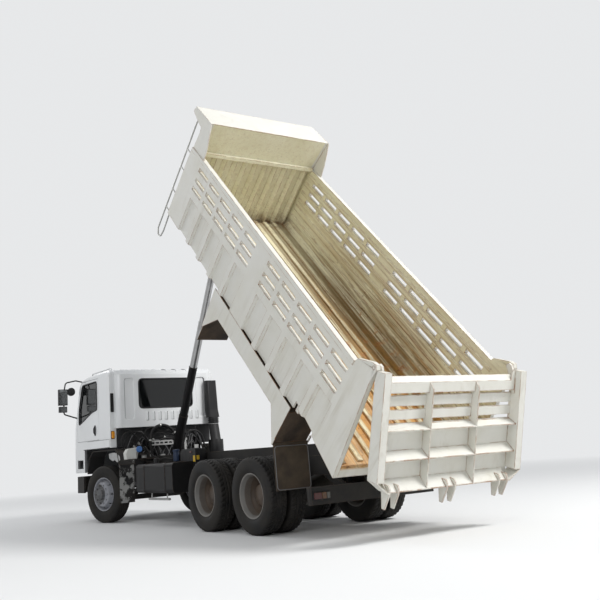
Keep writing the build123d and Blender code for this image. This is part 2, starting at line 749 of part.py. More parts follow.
with BuildPart() as cab_back_panel:
    add(cab_form.part)
    with BuildSketch(Plane.XZ) as back_cut:
        with BuildLine():
            Polyline(from_front(back_region), close=True)
        make_face()
    extrude(amount=half_cab + 50, both=True, mode=Mode.INTERSECT)
    with BuildSketch(Plane.YZ.offset(fx(cab_rear) - 10)) as rear_light:
        with Locations((0, 2367)):
            RectangleRounded(1190, 565, 70)
    extrude(amount=cab_wall + 20, mode=Mode.SUBTRACT)
    with BuildSketch(Plane.YZ.offset(fx(cab_rear))) as recesses:
        for side in (1, -1):
            with Locations((side * 800, 2270)):
                RectangleRounded(220, 800, 60)
    extrude(amount=25, taper=40, mode=Mode.SUBTRACT)
keep(cab_back_panel, "cab_back_panel")

with BuildPart() as cab_roof:
    add(cab_form.part)
    with BuildSketch(Plane.XZ) as roof_cut:
        with BuildLine():
            Polyline(from_front(roof_region), close=True)
        make_face()
    extrude(amount=half_cab + 50, both=True, mode=Mode.INTERSECT)
    for k in range(roof_ribs):
        with BuildSketch(Plane.XZ.offset(-(k - (roof_ribs - 1) / 2) * roof_rib_pitch)) as roof_rib:
            with BuildLine():
                Polyline(from_front([(-612, 2778), (-575, 2823 + roof_rib_height), (-420, 2850 + roof_rib_height),
                                     (600, 2835 + roof_rib_height), (640, 2810)]), close=True)
            make_face()
        extrude(amount=roof_rib_pitch * 0.3, both=True)
    for side in (1, -1):
        with BuildLine() as rail_line:
            FilletPolyline([(fx(850), side * 980, 2790), (fx(760), side * 980, 2905), (fx(-180), side * 980, 2915),
                            (fx(-260), side * 980, 2845)], radius=50)
        with BuildSketch(Plane(origin=rail_line.line @ 0, z_dir=rail_line.line % 0)) as rail_end:
            Circle(13)
        sweep(path=rail_line.line)
        with Locations((fx(250), side * 980, 2875)):
            Cylinder(11, 76)
keep(cab_roof, "cab_roof")

with BuildPart() as cab_glass:
    with BuildSketch(Plane.XZ) as screen:
        with BuildLine():
            Polyline(from_front([(1326.9, 1925), (1100.8, 2620), (1088.8, 2620), (1314.9, 1925)]), close=True)
        make_face()
    extrude(amount=1010, both=True)
    with BuildSketch(Plane.YZ.offset(fx(cab_rear) + 15)) as rear_pane:
        with Locations((0, 2367)):
            RectangleRounded(1190, 565, 70)
    extrude(amount=8)
keep(cab_glass, "cab_glass")

# Doors with their window openings, and the panes
for name, side in sides:
    with BuildPart() as door:
        add(cab_form.part)
        with BuildSketch(Plane.XZ.offset(-side * (half_cab - cab_wall))) as door_cut:
            with BuildLine():
                Polyline(from_front(door_region), close=True)
            make_face()
        extrude(amount=-side * (cab_wall + 50), mode=Mode.INTERSECT)
        with BuildSketch(Plane.XZ.offset(-side * (half_cab - cab_wall - 10))) as window_cut:
            with BuildLine():
                Polyline(from_front(door_window), close=True)
            make_face()
        extrude(amount=-side * (cab_wall + 50), mode=Mode.SUBTRACT)
    keep(door, f"door_{name}")
    with BuildPart() as door_pane:
        with BuildSketch(Plane.XZ.offset(-side * (half_cab - 28))) as pane_face:
            with BuildLine():
                Polyline(from_front(door_window), close=True)
            make_face()
        extrude(amount=-side * 6)
    keep(door_pane, f"door_pane_{name}")

# Seats, dashboard and steering wheel
with BuildPart() as cab_seats:
    for seat_y in (560, -560):
        with BuildSketch(Plane.XZ.offset(-seat_y)) as seat_side:
            with BuildLine():
                Polyline([(fx(p), q) for p, q in ((-330, cab_floor_z), (180, cab_floor_z), (160, 1760), (240, 1790),
                                                  (250, 1880), (-210, 1870), (-330, 2480), (-420, 2470),
                                                  (-330, 1780))], close=True)
            make_face()
        extrude(amount=240, both=True)
keep(cab_seats, "cab_seats")

with BuildPart() as dashboard:
    with BuildSketch(Plane.XZ) as dash_side:
        with BuildLine():
            Polyline(from_front([(1090, 1620), (1000, 1760), (1010, 1890), (1120, 1930), (1290, 1850), (1310, 1620)]), close=True)
        make_face()
    extrude(amount=half_cab - cab_wall, both=True)
    wheel_plane = Plane(origin=(fx(870), 560, 1960), x_dir=(0, 1, 0), z_dir=(-0.55, 0, 0.835))
    with Locations(wheel_plane.location):
        Torus(215, 16)
        Box(430, 34, 14)
        Cylinder(45, 30)
    with Locations(wheel_plane * Pos(0, 0, -185)):
        Cylinder(24, 380)
keep(dashboard, "dashboard")

# Mirrors on their tube arms, one set on each side
mirror_path = [(1010, half_cab - 105, 2753.3), (1180, half_cab + 35, 2815), (1262, half_cab + 235, 2780),
               (1262, half_cab + 275, 2560), (1262, half_cab + 275, 2130), (1225, half_cab + 5.1, 2040)]
with BuildPart() as mirrors:
    for side in (1, -1):
        with BuildLine() as arm_line:
            FilletPolyline([(fx(p), side * q, r) for p, q, r in mirror_path], radius=60)
        with BuildSketch(Plane(origin=arm_line.line @ 0, z_dir=arm_line.line % 0)) as arm_end:
            Circle(14)
        sweep(path=arm_line.line)
        with Locations((fx(1262), side * (half_cab + 297), 2480)):
            Box(70, 190, 330)
        with Locations((fx(1262), side * (half_cab + 297), 2230)):
            Box(60, 170, 120)
        with Locations((fx(1225), side * (half_cab + 125), 2590)):
            Cylinder(85, 40, rotation=(0, 90, 0))
        with Locations((fx(1232), side * (half_cab + 185), 2600)):
            Box(14, 130, 14)
keep(mirrors, "mirrors")

# Air intake on the back of the cab, down to where it parts from the duct when the cab tilts
with BuildPart() as air_intake:
    with BuildSketch(Plane.XY.offset(2580)) as intake_head:
        with Locations((fx(cab_rear) - 70, -intake_y)):
            RectangleRounded(139, 230, 40)
    with BuildSketch(Plane.XY.offset(1990)) as intake_foot:
        with Locations((fx(cab_rear) - 80, -intake_y + 5)):
            RectangleRounded(159, 250, 45)
    with BuildSketch(Plane.XY.offset(1840)) as intake_neck:
        with Locations((fx(intake_x) + 20, -intake_y)):
            RectangleRounded(150, 290, 70)
    loft(ruled=True)
    with BuildSketch(Plane.XY.offset(intake_split_z)) as bellows:
        with Locations((fx(intake_x), -intake_y)):
            Ellipse(75, 105)
    extrude(amount=1845 - intake_split_z)
    for height in (1735, 1770, 1805):
        with BuildSketch(Plane.XY.offset(height)) as fold:
            with Locations((fx(intake_x), -intake_y)):
                Ellipse(90, 122)
        extrude(amount=14)
keep(air_intake, "air_intake")

# Crests of the front wall's upright ribs; the floor's strips run on from them
rib_pitch = 2 * inner_bed / rib_count
rib_crests = [-inner_bed + rib_pitch * (k + 0.44) for k in range(rib_count)]

# Load bed, drawn lowered. Side walls: a sheet with ribs outside, a top rail, drain slots and the gate's lug.
side_outline = [(0, 20), (1165, 165), (1165, 50), (bed_length, 50), (bed_length, 1300), (5930, 1400), (571, 1400),
                (549, 1453), (330, 1590), (262, 1607), (215, 1560), (223, 1387)]
slot_rows = (1205, 1020, 860)
side_strips = ((345, 453), (562, 670), (742, 808), (912, 968), (1072, 1152), (1258, 1312))
strip_start = 480
slot_fronts = [5490 - bay_pitch * k for k in range(bay_count)] + [2840 - bay_pitch * k for k in range(bay_count)]


def on_bed(points):
    """Points given as (u forward, w up) on the lowered bed."""
    return [(bx(u), bz(w)) for u, w in points]


for name, side in sides:
    with BuildPart() as bed_side:
        with BuildSketch(Plane.XZ.offset(-side * inner_bed)) as side_shape:
            with BuildLine():
                Polyline(on_bed(side_outline), close=True)
            make_face()
            for row in slot_rows:
                with Locations([(bx(front - slot_length / 2), bz(row)) for front in slot_fronts]):
                    Rectangle(slot_length, slot_height, mode=Mode.SUBTRACT)
            with Locations((bx(gate_pin_forward), bz(gate_pin_height))):
                Circle(gate_pin / 2, mode=Mode.SUBTRACT)
        extrude(amount=-side * side_thickness)
        with BuildSketch(Plane.XZ.offset(-side * half_bed)) as pockets:
            for front in slot_fronts:
                with BuildLine():
                    Polyline(on_bed([(front - pocket_shift, pocket_top), (front - pocket_shift, 0),
                                     (front - pocket_shift - pocket_length, 0),
                                     (front - pocket_shift - pocket_length, pocket_top)]), close=True)
                make_face()
        extrude(amount=side * pocket_depth, taper=30, mode=Mode.SUBTRACT)
        with BuildSketch(Plane.XZ.offset(-side * half_bed)) as top_rail:
            with BuildLine():
                Polyline(on_bed([(571, 1330), (571, 1400), (5930, 1400), (5950, 1330)]), close=True)
            make_face()
        extrude(amount=-side * rail_bulge)
        with BuildSketch(Plane.XZ.offset(-side * inner_bed)) as inner_strips:
            for low, high in side_strips:
                with Locations((bx((front_wall_u + strip_start) / 2), bz((low + high) / 2))):
                    Rectangle(front_wall_u - strip_start - 12, high - low)
        extrude(amount=side * side_strip, taper=40)
    bed_side.part = bed_raised * bed_side.part
    keep(bed_side, f"bed_{name}_side")

# Floor: a sheet with raised strips, cornered into the sides, on cross-bearers, with the rear sill
with BuildPart() as bed_floor:
    with BuildSketch(Plane.YZ.offset(bx(60))) as floor_section:
        with BuildLine():
            Polyline((-inner_bed, bz(floor_top - floor_sheet)), (inner_bed, bz(floor_top - floor_sheet)),
                     (inner_bed, bz(floor_top + 100)), (inner_bed - 100, bz(floor_top)),
                     (-inner_bed + 100, bz(floor_top)), (-inner_bed, bz(floor_top + 100)), close=True)
        make_face()
    extrude(amount=front_wall_u - 60)
    with BuildSketch(Plane.YZ.offset(bx(75))) as floor_strips:
        for y in rib_crests[1:-1]:
            with BuildLine():
                Polyline((y - strip_width / 2 - 12, bz(floor_top)), (y - strip_width / 2, bz(floor_top + strip_height)),
                         (y + strip_width / 2, bz(floor_top + strip_height)), (y + strip_width / 2 + 12, bz(floor_top)),
                         close=True)
            make_face()
    extrude(amount=front_wall_u - 75)
    with Locations([(bx(200 + bearer_pitch * k), 0, bz((bearer_low + floor_top - floor_sheet) / 2))
                    for k in range(13)]):
        Box(70, 2 * inner_bed, floor_top - floor_sheet - bearer_low)
    with BuildSketch(Plane.XZ) as sill:
        with BuildLine():
            Polyline(on_bed([(0, 20), (28, floor_top), (150, floor_top), (150, 20)]), close=True)
        make_face()
    extrude(amount=inner_bed, both=True)
bed_floor.part = bed_raised * bed_floor.part
keep(bed_floor, "bed_floor")

# Front wall: upright corrugations, the top cross rail and the hoist's bracket with its pin
with BuildPart() as bed_front_wall:
    with BuildSketch(Plane.XY.offset(bz(bearer_low))) as wall_plan:
        with BuildLine():
            waves = []
            for y in rib_crests:
                waves += [(bx(front_wall_u + rib_depth), y - 25), (bx(front_wall_u), y), (bx(front_wall_u), y + 10),
                          (bx(front_wall_u + rib_depth), y + 10 + rib_flank)]
            Polyline([(bx(front_wall_u + rib_depth), -inner_bed)] + waves
                     + [(bx(front_wall_u + rib_depth), inner_bed), (bx(front_wall_u + 150), inner_bed),
                        (bx(front_wall_u + 150), -inner_bed)], close=True)
        make_face()
    extrude(amount=1400 - bearer_low)
    with Locations((bx(front_wall_u + 42 - cross_rail / 2), 0, bz(1365 + cross_rail / 2))):
        Box(cross_rail, 2 * inner_bed, cross_rail)
    for side in (1, -1):
        with BuildSketch(Plane.XZ.offset(-side * (hoist_fork / 2 + 12))) as cheek:
            with BuildLine():
                Polyline(on_bed([(front_wall_u + 150, 480), (front_wall_u + 150, 1150), (6290, 810), (6375, 790),
                                 (6405, 720), (6375, 665), (6290, 660)]), close=True)
            make_face()
        extrude(amount=12, both=True)
    with Locations((bx(hoist_pin_forward), 0, bz(hoist_pin_height))):
        Cylinder(hoist_pin / 2, hoist_fork + 40, rotation=(90, 0, 0))
bed_front_wall.part = bed_raised * bed_front_wall.part
keep(bed_front_wall, "bed_front_wall")

# Cab guard: the wall carried on upwards, a visor over the cab and an end plate on each side
with BuildPart() as cab_guard:
    with BuildSketch(Plane.XZ) as guard_sheets:
        with BuildLine():
            Polyline(on_bed([(5760, 1400), (5774, 1400), (5675, 1976), (6288, 1974), (6330, 1880), (6342, 1885),
                             (6297, 1988), (5650, 1990), (5660, 1978)]), close=True)
        make_face()
    extrude(amount=half_bed - 14, both=True)
    for side in (1, -1):
        with BuildSketch(Plane.XZ.offset(-side * (half_bed - 14))) as end_plate:
            with BuildLine():
                Polyline(on_bed([(5925, 1400), (5900, 1680), (5917, 1780), (6084, 1810), (6333, 1880), (6342, 1885),
                                 (6297, 1988), (5640, 1992), (5500, 1636), (5453, 1400)]), close=True)
            make_face()
        extrude(amount=-side * 14)
cab_guard.part = bed_raised * cab_guard.part
keep(cab_guard, "cab_guard")

# Runners under the floor, with the plates that ride on the hinge shaft
with BuildPart() as bed_runners:
    for side in (1, -1):
        with Locations(((bx(350) + bx(5850)) / 2, side * (rail_y - 40), (runner_bottom_z + bz(bearer_low)) / 2)):
            Box(5500, 80, bz(bearer_low) - runner_bottom_z)
        with BuildSketch(Plane.XZ.offset(-side * (rail_y + 10))) as hinge_plate:
            with BuildLine():
                Polyline((hinge_x - 330, runner_bottom_z + 120), (hinge_x - 330, runner_bottom_z - 10),
                         (hinge_x - 90, hinge_z - 60), (hinge_x, hinge_z - 90), (hinge_x + 90, hinge_z - 60),
                         (hinge_x + 330, runner_bottom_z - 10), (hinge_x + 330, runner_bottom_z + 120), close=True)
            make_face()
            with Locations((hinge_x, hinge_z)):
                Circle(hinge_shaft / 2 + 1, mode=Mode.SUBTRACT)
        extrude(amount=-side * 30)
        with Locations((hinge_x, side * (rail_y + 5), runner_bottom_z + 60)):
            Box(600, 10, 110)
bed_runners.part = bed_raised * bed_runners.part
keep(bed_runners, "bed_runners")

# Wheel boxes: skirts with a trapezoid arch, cross plates in front and behind, and a top plate
with BuildPart() as wheel_boxes:
    for side in (1, -1):
        with BuildSketch(Plane.XZ.offset(-side * (half_bed - 14))) as skirt:
            with BuildLine():
                Polyline(on_bed([(1165, 50), (1165, -600), (1192, -600), (1530, -225), (3390, -265), (3690, -648),
                                 (3715, -648), (3775, 50)]), close=True)
            make_face()
        extrude(amount=-side * 14)
        for u, low in ((1180, -600), (3702, -930)):
            with Locations((bx(u), side * (half_bed + guard_y) / 2 - side * 7, bz((low - 60) / 2))):
                Box(10, half_bed - guard_y - 14, -60 - low)
        with Locations(((bx(1175) + bx(3707)) / 2, side * ((half_bed + guard_y) / 2 - 7), bz(-55))):
            Box(3707 - 1175, half_bed - guard_y - 14, 10)
        with Locations((bx(flap_forward), side * (half_bed + flap_inner_y) / 2, bz(-flap_drop))):
            Cylinder(flap_rod / 2, half_bed - flap_inner_y, rotation=(90, 0, 0))
        for y in (flap_inner_y + 7, half_bed - 7):
            with Locations((bx(flap_forward), side * y, bz(-flap_drop + 40))):
                Box(28, 14, 110)
wheel_boxes.part = bed_raised * wheel_boxes.part
keep(wheel_boxes, "wheel_boxes")

# Ladder up the front left corner of the bed
with BuildPart() as ladder:
    with BuildLine() as stile_line:
        FilletPolyline([(bx(u), ladder_y, bz(w)) for u, w in
                        ((5990, 1955), (6110, 1900), (6148, 1760), (6141, -380), (6060, -470), (5960, -440),
                         (5930, -300), (5945, 49))], radius=40)
    with BuildSketch(Plane(origin=stile_line.line @ 0, z_dir=stile_line.line % 0)) as stile_end:
        Circle(ladder_tube / 2)
    sweep(path=stile_line.line)
    for w in (1250, 901, 447, 80):
        with Locations(((bx(bed_length) + bx(6145)) / 2, ladder_y, bz(w))):
            Cylinder(ladder_tube / 2 - 1, 6145 - bed_length, rotation=(0, 90, 0))
ladder.part = bed_raised * ladder.part
keep(ladder, "ladder")

# Mud flaps: each hangs from its rod by a sleeve and stays upright as the bed tips
flap_rod_lowered = Pos(bx(flap_forward), 0, bz(-flap_drop))
flap_rod_raised = (bed_raised * flap_rod_lowered).position
for name, side in sides:
    flap_middle = side * (flap_inner_y + half_bed) / 2
    flap_width = half_bed - flap_inner_y - 2 * (14 + flap_gap)
    with BuildPart() as mudflap:
        with Locations((flap_rod_raised.X, flap_middle, flap_rod_raised.Z)):
            Cylinder(flap_rod, flap_width, rotation=(90, 0, 0))
            Cylinder(flap_rod / 2 + 0.5, flap_width, rotation=(90, 0, 0), mode=Mode.SUBTRACT)
        with Locations((flap_rod_raised.X, flap_middle, flap_rod_raised.Z - flap_rod / 2 - flap_length / 2 - 3)):
            Box(flap_sheet, flap_width, flap_length)
    keep(mudflap, f"mudflap_{name}")

# Tailgate, drawn hanging plumb from its pins, then swung and raised with the bed
pin_x, pin_z = bx(gate_pin_forward), bz(gate_pin_height)


def on_gate(points):
    """Points given as (t behind the gate's pins, s below them)."""
    return [(pin_x - t, pin_z - s) for t, s in points]


shelves = (((gate_standoff, 650), (gate_depth, 705)), ((gate_standoff, 955), (gate_depth, 1050)),
           ((gate_standoff, 1275), (gate_depth, gate_length - 12)))
slats = ((322, 446), (490, 604), (655, 715))
top_rail_depth = 110
with BuildPart() as tailgate:
    for side in (1, -1):
        with BuildSketch(Plane.XZ.offset(-side * post_inner)) as post:
            with BuildLine():
                Polyline(on_gate([(65, 30), (gate_standoff + gate_depth, 30), (gate_standoff + gate_depth, 1285),
                                  (gate_standoff, 1285), (gate_standoff, 165)]), close=True)
            make_face()
        extrude(amount=-side * (half_bed - post_inner))
        with BuildSketch(Plane.XZ.offset(-side * (inner_bed - 45))) as arm:
            with BuildLine():
                Polyline(on_gate([(-42, 12), (-20, 42), (60, 330), (120, 330), (120, 60), (60, 34), (40, -20),
                                  (0, -46), (-36, -24)]), close=True)
            make_face()
        extrude(amount=-side * 40)
        with Locations((pin_x, side * (inner_bed + half_bed - 40) / 2, pin_z)):
            Cylinder(gate_pin / 2 - 0.5, half_bed - inner_bed + 44, rotation=(90, 0, 0))
        with BuildSketch(Plane.YZ.offset(pin_x - gate_standoff - gate_depth)) as corner:
            with BuildLine():
                Polyline([(side * y, pin_z - s) for y, s in
                          ((half_bed, 1270), (half_bed, 1290), (1035, gate_length), (1000, gate_length),
                           (1000, gate_length - 14), (1030, gate_length - 14), (half_bed - 14, 1284),
                           (half_bed - 14, 1270))], close=True)
            make_face()
        extrude(amount=gate_depth)
        with BuildSketch(Plane.XZ.offset(-side * (stiffener_y - 7))) as stiffener:
            with BuildLine():
                Polyline(on_gate([(gate_standoff, 150), (100, 150), (gate_depth, 235), (gate_depth, gate_length),
                                  (gate_standoff, gate_length)]), close=True)
            make_face()
        extrude(amount=-side * 14)
    with BuildSketch(Plane.YZ.offset(pin_x - gate_standoff - gate_sheet)) as sheet:
        with BuildLine():
            Polyline([(y, pin_z - s) for y, s in
                      ((-post_inner - 10, 705), (post_inner + 10, 705), (post_inner + 10, 1350), (1035, gate_length),
                       (-1035, gate_length), (-post_inner - 10, 1350))], close=True)
        make_face()
    extrude(amount=gate_sheet)
    for top, bottom in slats:
        with Locations((pin_x - gate_standoff - 15, 0, pin_z - (top + bottom) / 2)):
            Box(30, 2 * post_inner, bottom - top)
    with BuildSketch(Plane.XZ) as gate_rail:
        with BuildLine():
            Polyline(on_gate([(gate_standoff, 98), (gate_standoff + 12, 92), (top_rail_depth, 158), (top_rail_depth, 284),
                              (top_rail_depth - gate_plate, 284), (top_rail_depth - gate_plate, 168),
                              (gate_standoff, 116)]), close=True)
        make_face()
    extrude(amount=post_inner, both=True)
    with BuildSketch(Plane.YZ.offset(pin_x - top_rail_depth)) as gussets:
        for side in (1, -1):
            with BuildLine():
                Polyline([(side * y, pin_z - s) for y, s in ((post_inner + 5, 32), (post_inner - 50, 36),
                                                             (post_inner - 75, 165), (post_inner + 5, 230))], close=True)
            make_face()
    extrude(amount=gate_plate)
    for (t_in, s_in), (t_out, s_out) in shelves:
        with BuildSketch(Plane.XZ) as shelf:
            with BuildLine():
                Polyline(on_gate([(t_in, s_in), (t_out, s_out), (t_out, s_out + 12), (t_in, s_in + 14)]),
                         close=True)
            make_face()
        extrude(amount=post_inner if s_out < 1200 else 1030, both=True)
    for lug_y in (-930, 0, 930):
        for offset in (-70, 70):
            with BuildSketch(Plane.XZ.offset(-lug_y - offset)) as latch_lug:
                with BuildLine():
                    Polyline(on_gate([(135, 1330), (165, 1335), (188, 1375), (188, 1440), (125, 1620), (78, 1620),
                                      (50, 1430), (50, 1340)]), close=True)
                make_face()
            extrude(amount=10, both=True)
tailgate.part = bed_raised * turned_about(pin_x, pin_z, -gate_slant - gate_swing) * tailgate.part
keep(tailgate, "tailgate")

# Hoist: a barrel and five nested stages on the line from the cradle to the bed's pin
hoist_foot = Vector(fx(hoist_base_x), 0, hoist_base_z)
hoist_head = (bed_raised * Pos(bx(hoist_pin_forward), 0, bz(hoist_pin_height))).position
hoist_axis = Plane(origin=hoist_foot, z_dir=hoist_head - hoist_foot, x_dir=(0, 1, 0))
hoist_reach = (hoist_head - hoist_foot).length
last_stage = len(hoist_strokes) - 1
for stage, (diameter, stroke) in enumerate(zip(hoist_diameters, hoist_strokes)):
    foot_at = stroke + 70 + 12 * stage
    head_at = hoist_reach - 60 if stage == last_stage else stroke + hoist_barrel + 8 * stage
    with BuildPart() as tube:
        with BuildSketch(hoist_axis.offset(foot_at)) as tube_ring:
            Circle(diameter / 2)
            if stage < last_stage:
                Circle(hoist_diameters[stage + 1] / 2 + 1, mode=Mode.SUBTRACT)
        extrude(amount=head_at - foot_at)
        with BuildSketch(hoist_axis.offset(head_at - 7)) as collar:
            Circle(diameter / 2 + 4)
            if stage < last_stage:
                Circle(hoist_diameters[stage + 1] / 2 + 1, mode=Mode.SUBTRACT)
        extrude(amount=7)
        if stage == 0:
            with BuildSketch(hoist_axis.offset(46)) as foot_cap:
                Circle(diameter / 2)
            extrude(amount=foot_at - 46)
            with BuildSketch(Plane.XZ.offset(-60)) as eye:
                with Locations((hoist_foot.X, hoist_foot.Z)):
                    Circle(78)
                    Circle(46, mode=Mode.SUBTRACT)
            extrude(amount=120)
        if stage == last_stage:
            with BuildSketch(Plane.XZ.offset(-hoist_fork / 2 + 3)) as saddle:
                with BuildLine() as saddle_edge:
                    Polyline([(saddle_place.X, saddle_place.Z) for saddle_place in
                              (hoist_axis.from_local_coords(Vector(0, p, hoist_reach + q)) for p, q in
                               ((-50, 0), (-34, 0), (-30, -18), (-18, -30), (0, -34), (18, -30), (30, -18), (34, 0),
                                (50, 0), (44, -50), (20, -90), (-20, -90), (-44, -50)))], close=True)
                make_face()
            extrude(amount=hoist_fork - 6)
    keep(tube, "hoist_barrel" if stage == 0 else f"hoist_stage_{stage}")
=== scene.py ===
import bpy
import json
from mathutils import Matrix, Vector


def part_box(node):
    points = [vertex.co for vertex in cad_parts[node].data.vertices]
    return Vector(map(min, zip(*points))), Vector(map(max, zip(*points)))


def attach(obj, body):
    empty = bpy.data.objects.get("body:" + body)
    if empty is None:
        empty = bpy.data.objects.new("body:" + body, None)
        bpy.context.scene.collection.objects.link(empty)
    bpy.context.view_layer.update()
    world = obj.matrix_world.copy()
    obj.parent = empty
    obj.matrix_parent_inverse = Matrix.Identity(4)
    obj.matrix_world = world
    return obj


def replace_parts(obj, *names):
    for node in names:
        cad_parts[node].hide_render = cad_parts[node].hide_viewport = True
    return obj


bl_info = {
    "name": "Dump truck looks",
    "version": (1, 0, 0),
    "blender": (4, 5, 0),
    "location": "3D View > Sidebar > Dump truck",
    "description": "Finishes, tyres, glass, lamps, hoses and wear for a dump truck from a packed CAD model",
    "category": "Object",
}

import json
import math

import bpy
import numpy as np
from bpy.props import FloatProperty, FloatVectorProperty, IntProperty, PointerProperty
from mathutils import Matrix, Vector

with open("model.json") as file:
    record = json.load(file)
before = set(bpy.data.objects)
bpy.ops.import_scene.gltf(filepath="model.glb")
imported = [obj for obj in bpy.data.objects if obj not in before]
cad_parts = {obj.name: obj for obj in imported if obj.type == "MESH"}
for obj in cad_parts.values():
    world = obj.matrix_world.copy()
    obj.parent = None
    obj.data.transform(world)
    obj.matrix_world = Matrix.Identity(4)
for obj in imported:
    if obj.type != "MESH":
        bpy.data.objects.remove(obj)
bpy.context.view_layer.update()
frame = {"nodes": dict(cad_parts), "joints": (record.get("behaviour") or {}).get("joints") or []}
NODES = frame["nodes"]
JOINTS = {joint["name"]: joint for joint in frame["joints"]}

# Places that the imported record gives, in metres
HINGE = Vector(JOINTS["bed_tilt"]["pos_m"])
TILT = math.radians(-JOINTS["bed_tilt"]["range_deg"][0])
FRONT_AXLE = Vector(JOINTS["front_wheel_left_spin"]["pos_m"])
FRONT_X = FRONT_AXLE.x

# Places that scene.py is fitted to, in metres; x is from the front axle
REAR_AXLES = (-4.11, -5.43)
TWIN = 0.33  # between the middles of twin tyres
BED_CORNER = Vector((-0.766, 0, 0.443))  # the bed's rear lower corner from its hinge, along the bed
CAB_REAR, CAB_PILLAR, CAB_SIDE = -0.64, -0.5, 1.165
CAB_FLOOR, SHIELD_TOP, SHIELD_HALF, SHIELD_FRONT = 1.5, 1.727, 1.045, -0.44
MUD_START = -0.69

# Measures of the bed from its rear lower corner: the side walls' and the front wall's inner faces, the tops
# of the floor and of its strips, and the foot of the guard
SIDE_INSIDE, FRONT_INSIDE, FLOOR_TOP, STRIP_TOP, GUARD_FOOT = 1.157, 5.855, 0.2, 0.216, 1.43

X, Y, Z = np.eye(3)
SIDES = {1: "left", -1: "right"}
BACKDROP = (0.8, 0.81, 0.82)


def at(x, y, z):
    """A point given from the front axle: x forward, y to the left, z up from the ground."""
    return (FRONT_X + x, y, z)


# Nodes and materials


def rgba(colour):
    """A colour with full alpha; a node's output is passed on."""
    return colour if isinstance(colour, bpy.types.NodeSocket) else (*colour[:3], 1)


def shade(colour, factor):
    return tuple(min(1, part * factor) for part in colour)


GROUPS = {}
MATERIALS = {}


class Nodes:
    """A node tree with short names for the nodes that the materials use. Any input takes a value or an
    output."""

    def __init__(self, tree):
        self.tree = tree

    def feed(self, socket, value):
        if isinstance(value, bpy.types.NodeSocket):
            self.tree.links.new(value, socket)
        else:
            socket.default_value = value

    def add(self, kind, ins=None, **settings):
        """A shader node. settings are its properties, and ins its inputs."""
        node = self.tree.nodes.new("ShaderNode" + kind)
        for key, value in settings.items():
            setattr(node, key, value)
        for key, value in (ins or {}).items():
            self.feed(node.inputs[key], value)
        return node

    def math(self, operation, *values, clamp=False):
        return self.add("Math", dict(enumerate(values)), operation=operation, use_clamp=clamp).outputs[0]

    def times(self, first, *others, clamp=False):
        for other in others:
            first = self.math("MULTIPLY", first, other, clamp=clamp)
        return first

    def largest(self, first, second):
        return self.math("MAXIMUM", first, second)

    def vector_math(self, operation, *values, output="Value"):
        return self.add("VectorMath", dict(enumerate(values)), operation=operation).outputs[output]

    def ramp(self, value, low, high, to_low=0, to_high=1):
        """value carried from low..high to to_low..to_high, and held at the ends."""
        return self.add("MapRange", {0: value, 1: low, 2: high, 3: to_low, 4: to_high}, clamp=True).outputs[0]

    def mix(self, factor, first, second):
        """Colour first where factor is 0, second where it is 1."""
        return self.add("Mix", {0: factor, 6: rgba(first), 7: rgba(second)}, data_type="RGBA").outputs[2]

    def noise(self, vector, scale, detail=4, roughness=0.55, distortion=0):
        return self.add("TexNoise", {"Vector": vector, "Scale": scale, "Detail": detail,
                                     "Roughness": roughness, "Distortion": distortion}).outputs["Fac"]

    def cloud(self, vector, scale, detail, roughness, *limits):
        """Noise put through a ramp with those limits."""
        return self.ramp(self.noise(vector, scale, detail, roughness), *limits)

    def coords(self, kind="Object"):
        return self.add("TexCoord").outputs[kind]

    def parts(self, vector):
        """The vector's x, y and z."""
        return tuple(self.add("SeparateXYZ", {0: vector}).outputs)

    def effect(self, name, **ins):
        """The outputs of a shared group, placed with its own values."""
        node = self.tree.nodes.new("ShaderNodeGroup")
        node.node_tree = GROUPS[name]
        for key, value in ins.items():
            self.feed(node.inputs[key.replace("_", " ").capitalize()], value)
        return node.outputs

    def finish(self, colour, roughness, height=None, strength=0.3, distance=0.002, others=None):
        """Feeds the material's Principled shader; height goes through a Bump, and others are inputs by
        name."""
        inputs = self.tree.nodes["Principled BSDF"].inputs
        for key, value in {"Base Color": rgba(colour), "Roughness": roughness, **(others or {})}.items():
            self.feed(inputs[key], value)
        if height is not None:
            bump = self.add("Bump", {"Height": height, "Strength": strength, "Distance": distance})
            self.feed(inputs["Normal"], bump.outputs[0])


def new_group(name, *inputs, outputs=(("Mask", "Float"),)):
    """A shader node group. inputs are (name, kind, default) rows and outputs (name, kind) rows."""
    group = GROUPS[name] = bpy.data.node_groups.new(name, "ShaderNodeTree")
    for label, kind, default in inputs:
        socket = group.interface.new_socket(name=label, in_out="INPUT", socket_type="NodeSocket" + kind)
        if default is not None:
            socket.default_value = default
    for label, kind in outputs:
        group.interface.new_socket(name=label, in_out="OUTPUT", socket_type="NodeSocket" + kind)
    return Nodes(group), group.nodes.new("NodeGroupInput").outputs, group.nodes.new("NodeGroupOutput").inputs


def make_edge_wear():
    """Mask that is 1 along sharp edges, broken up by noise."""
    n, given, out = new_group("Edge wear", ("Radius", "Float", 0.006), ("Patch scale", "Float", 9),
                              ("Amount", "Float", 0.5))
    rounded_normal = n.add("Bevel", {"Radius": given["Radius"]}, samples=4).outputs[0]
    facing = n.vector_math("DOT_PRODUCT", rounded_normal, n.add("NewGeometry").outputs["Normal"])
    patch = n.cloud(n.coords(), given["Patch scale"], 6, 0.65, 0.62, 0.42)
    n.feed(out[0], n.times(n.ramp(facing, 0.995, 0.93), patch, given["Amount"], clamp=True))


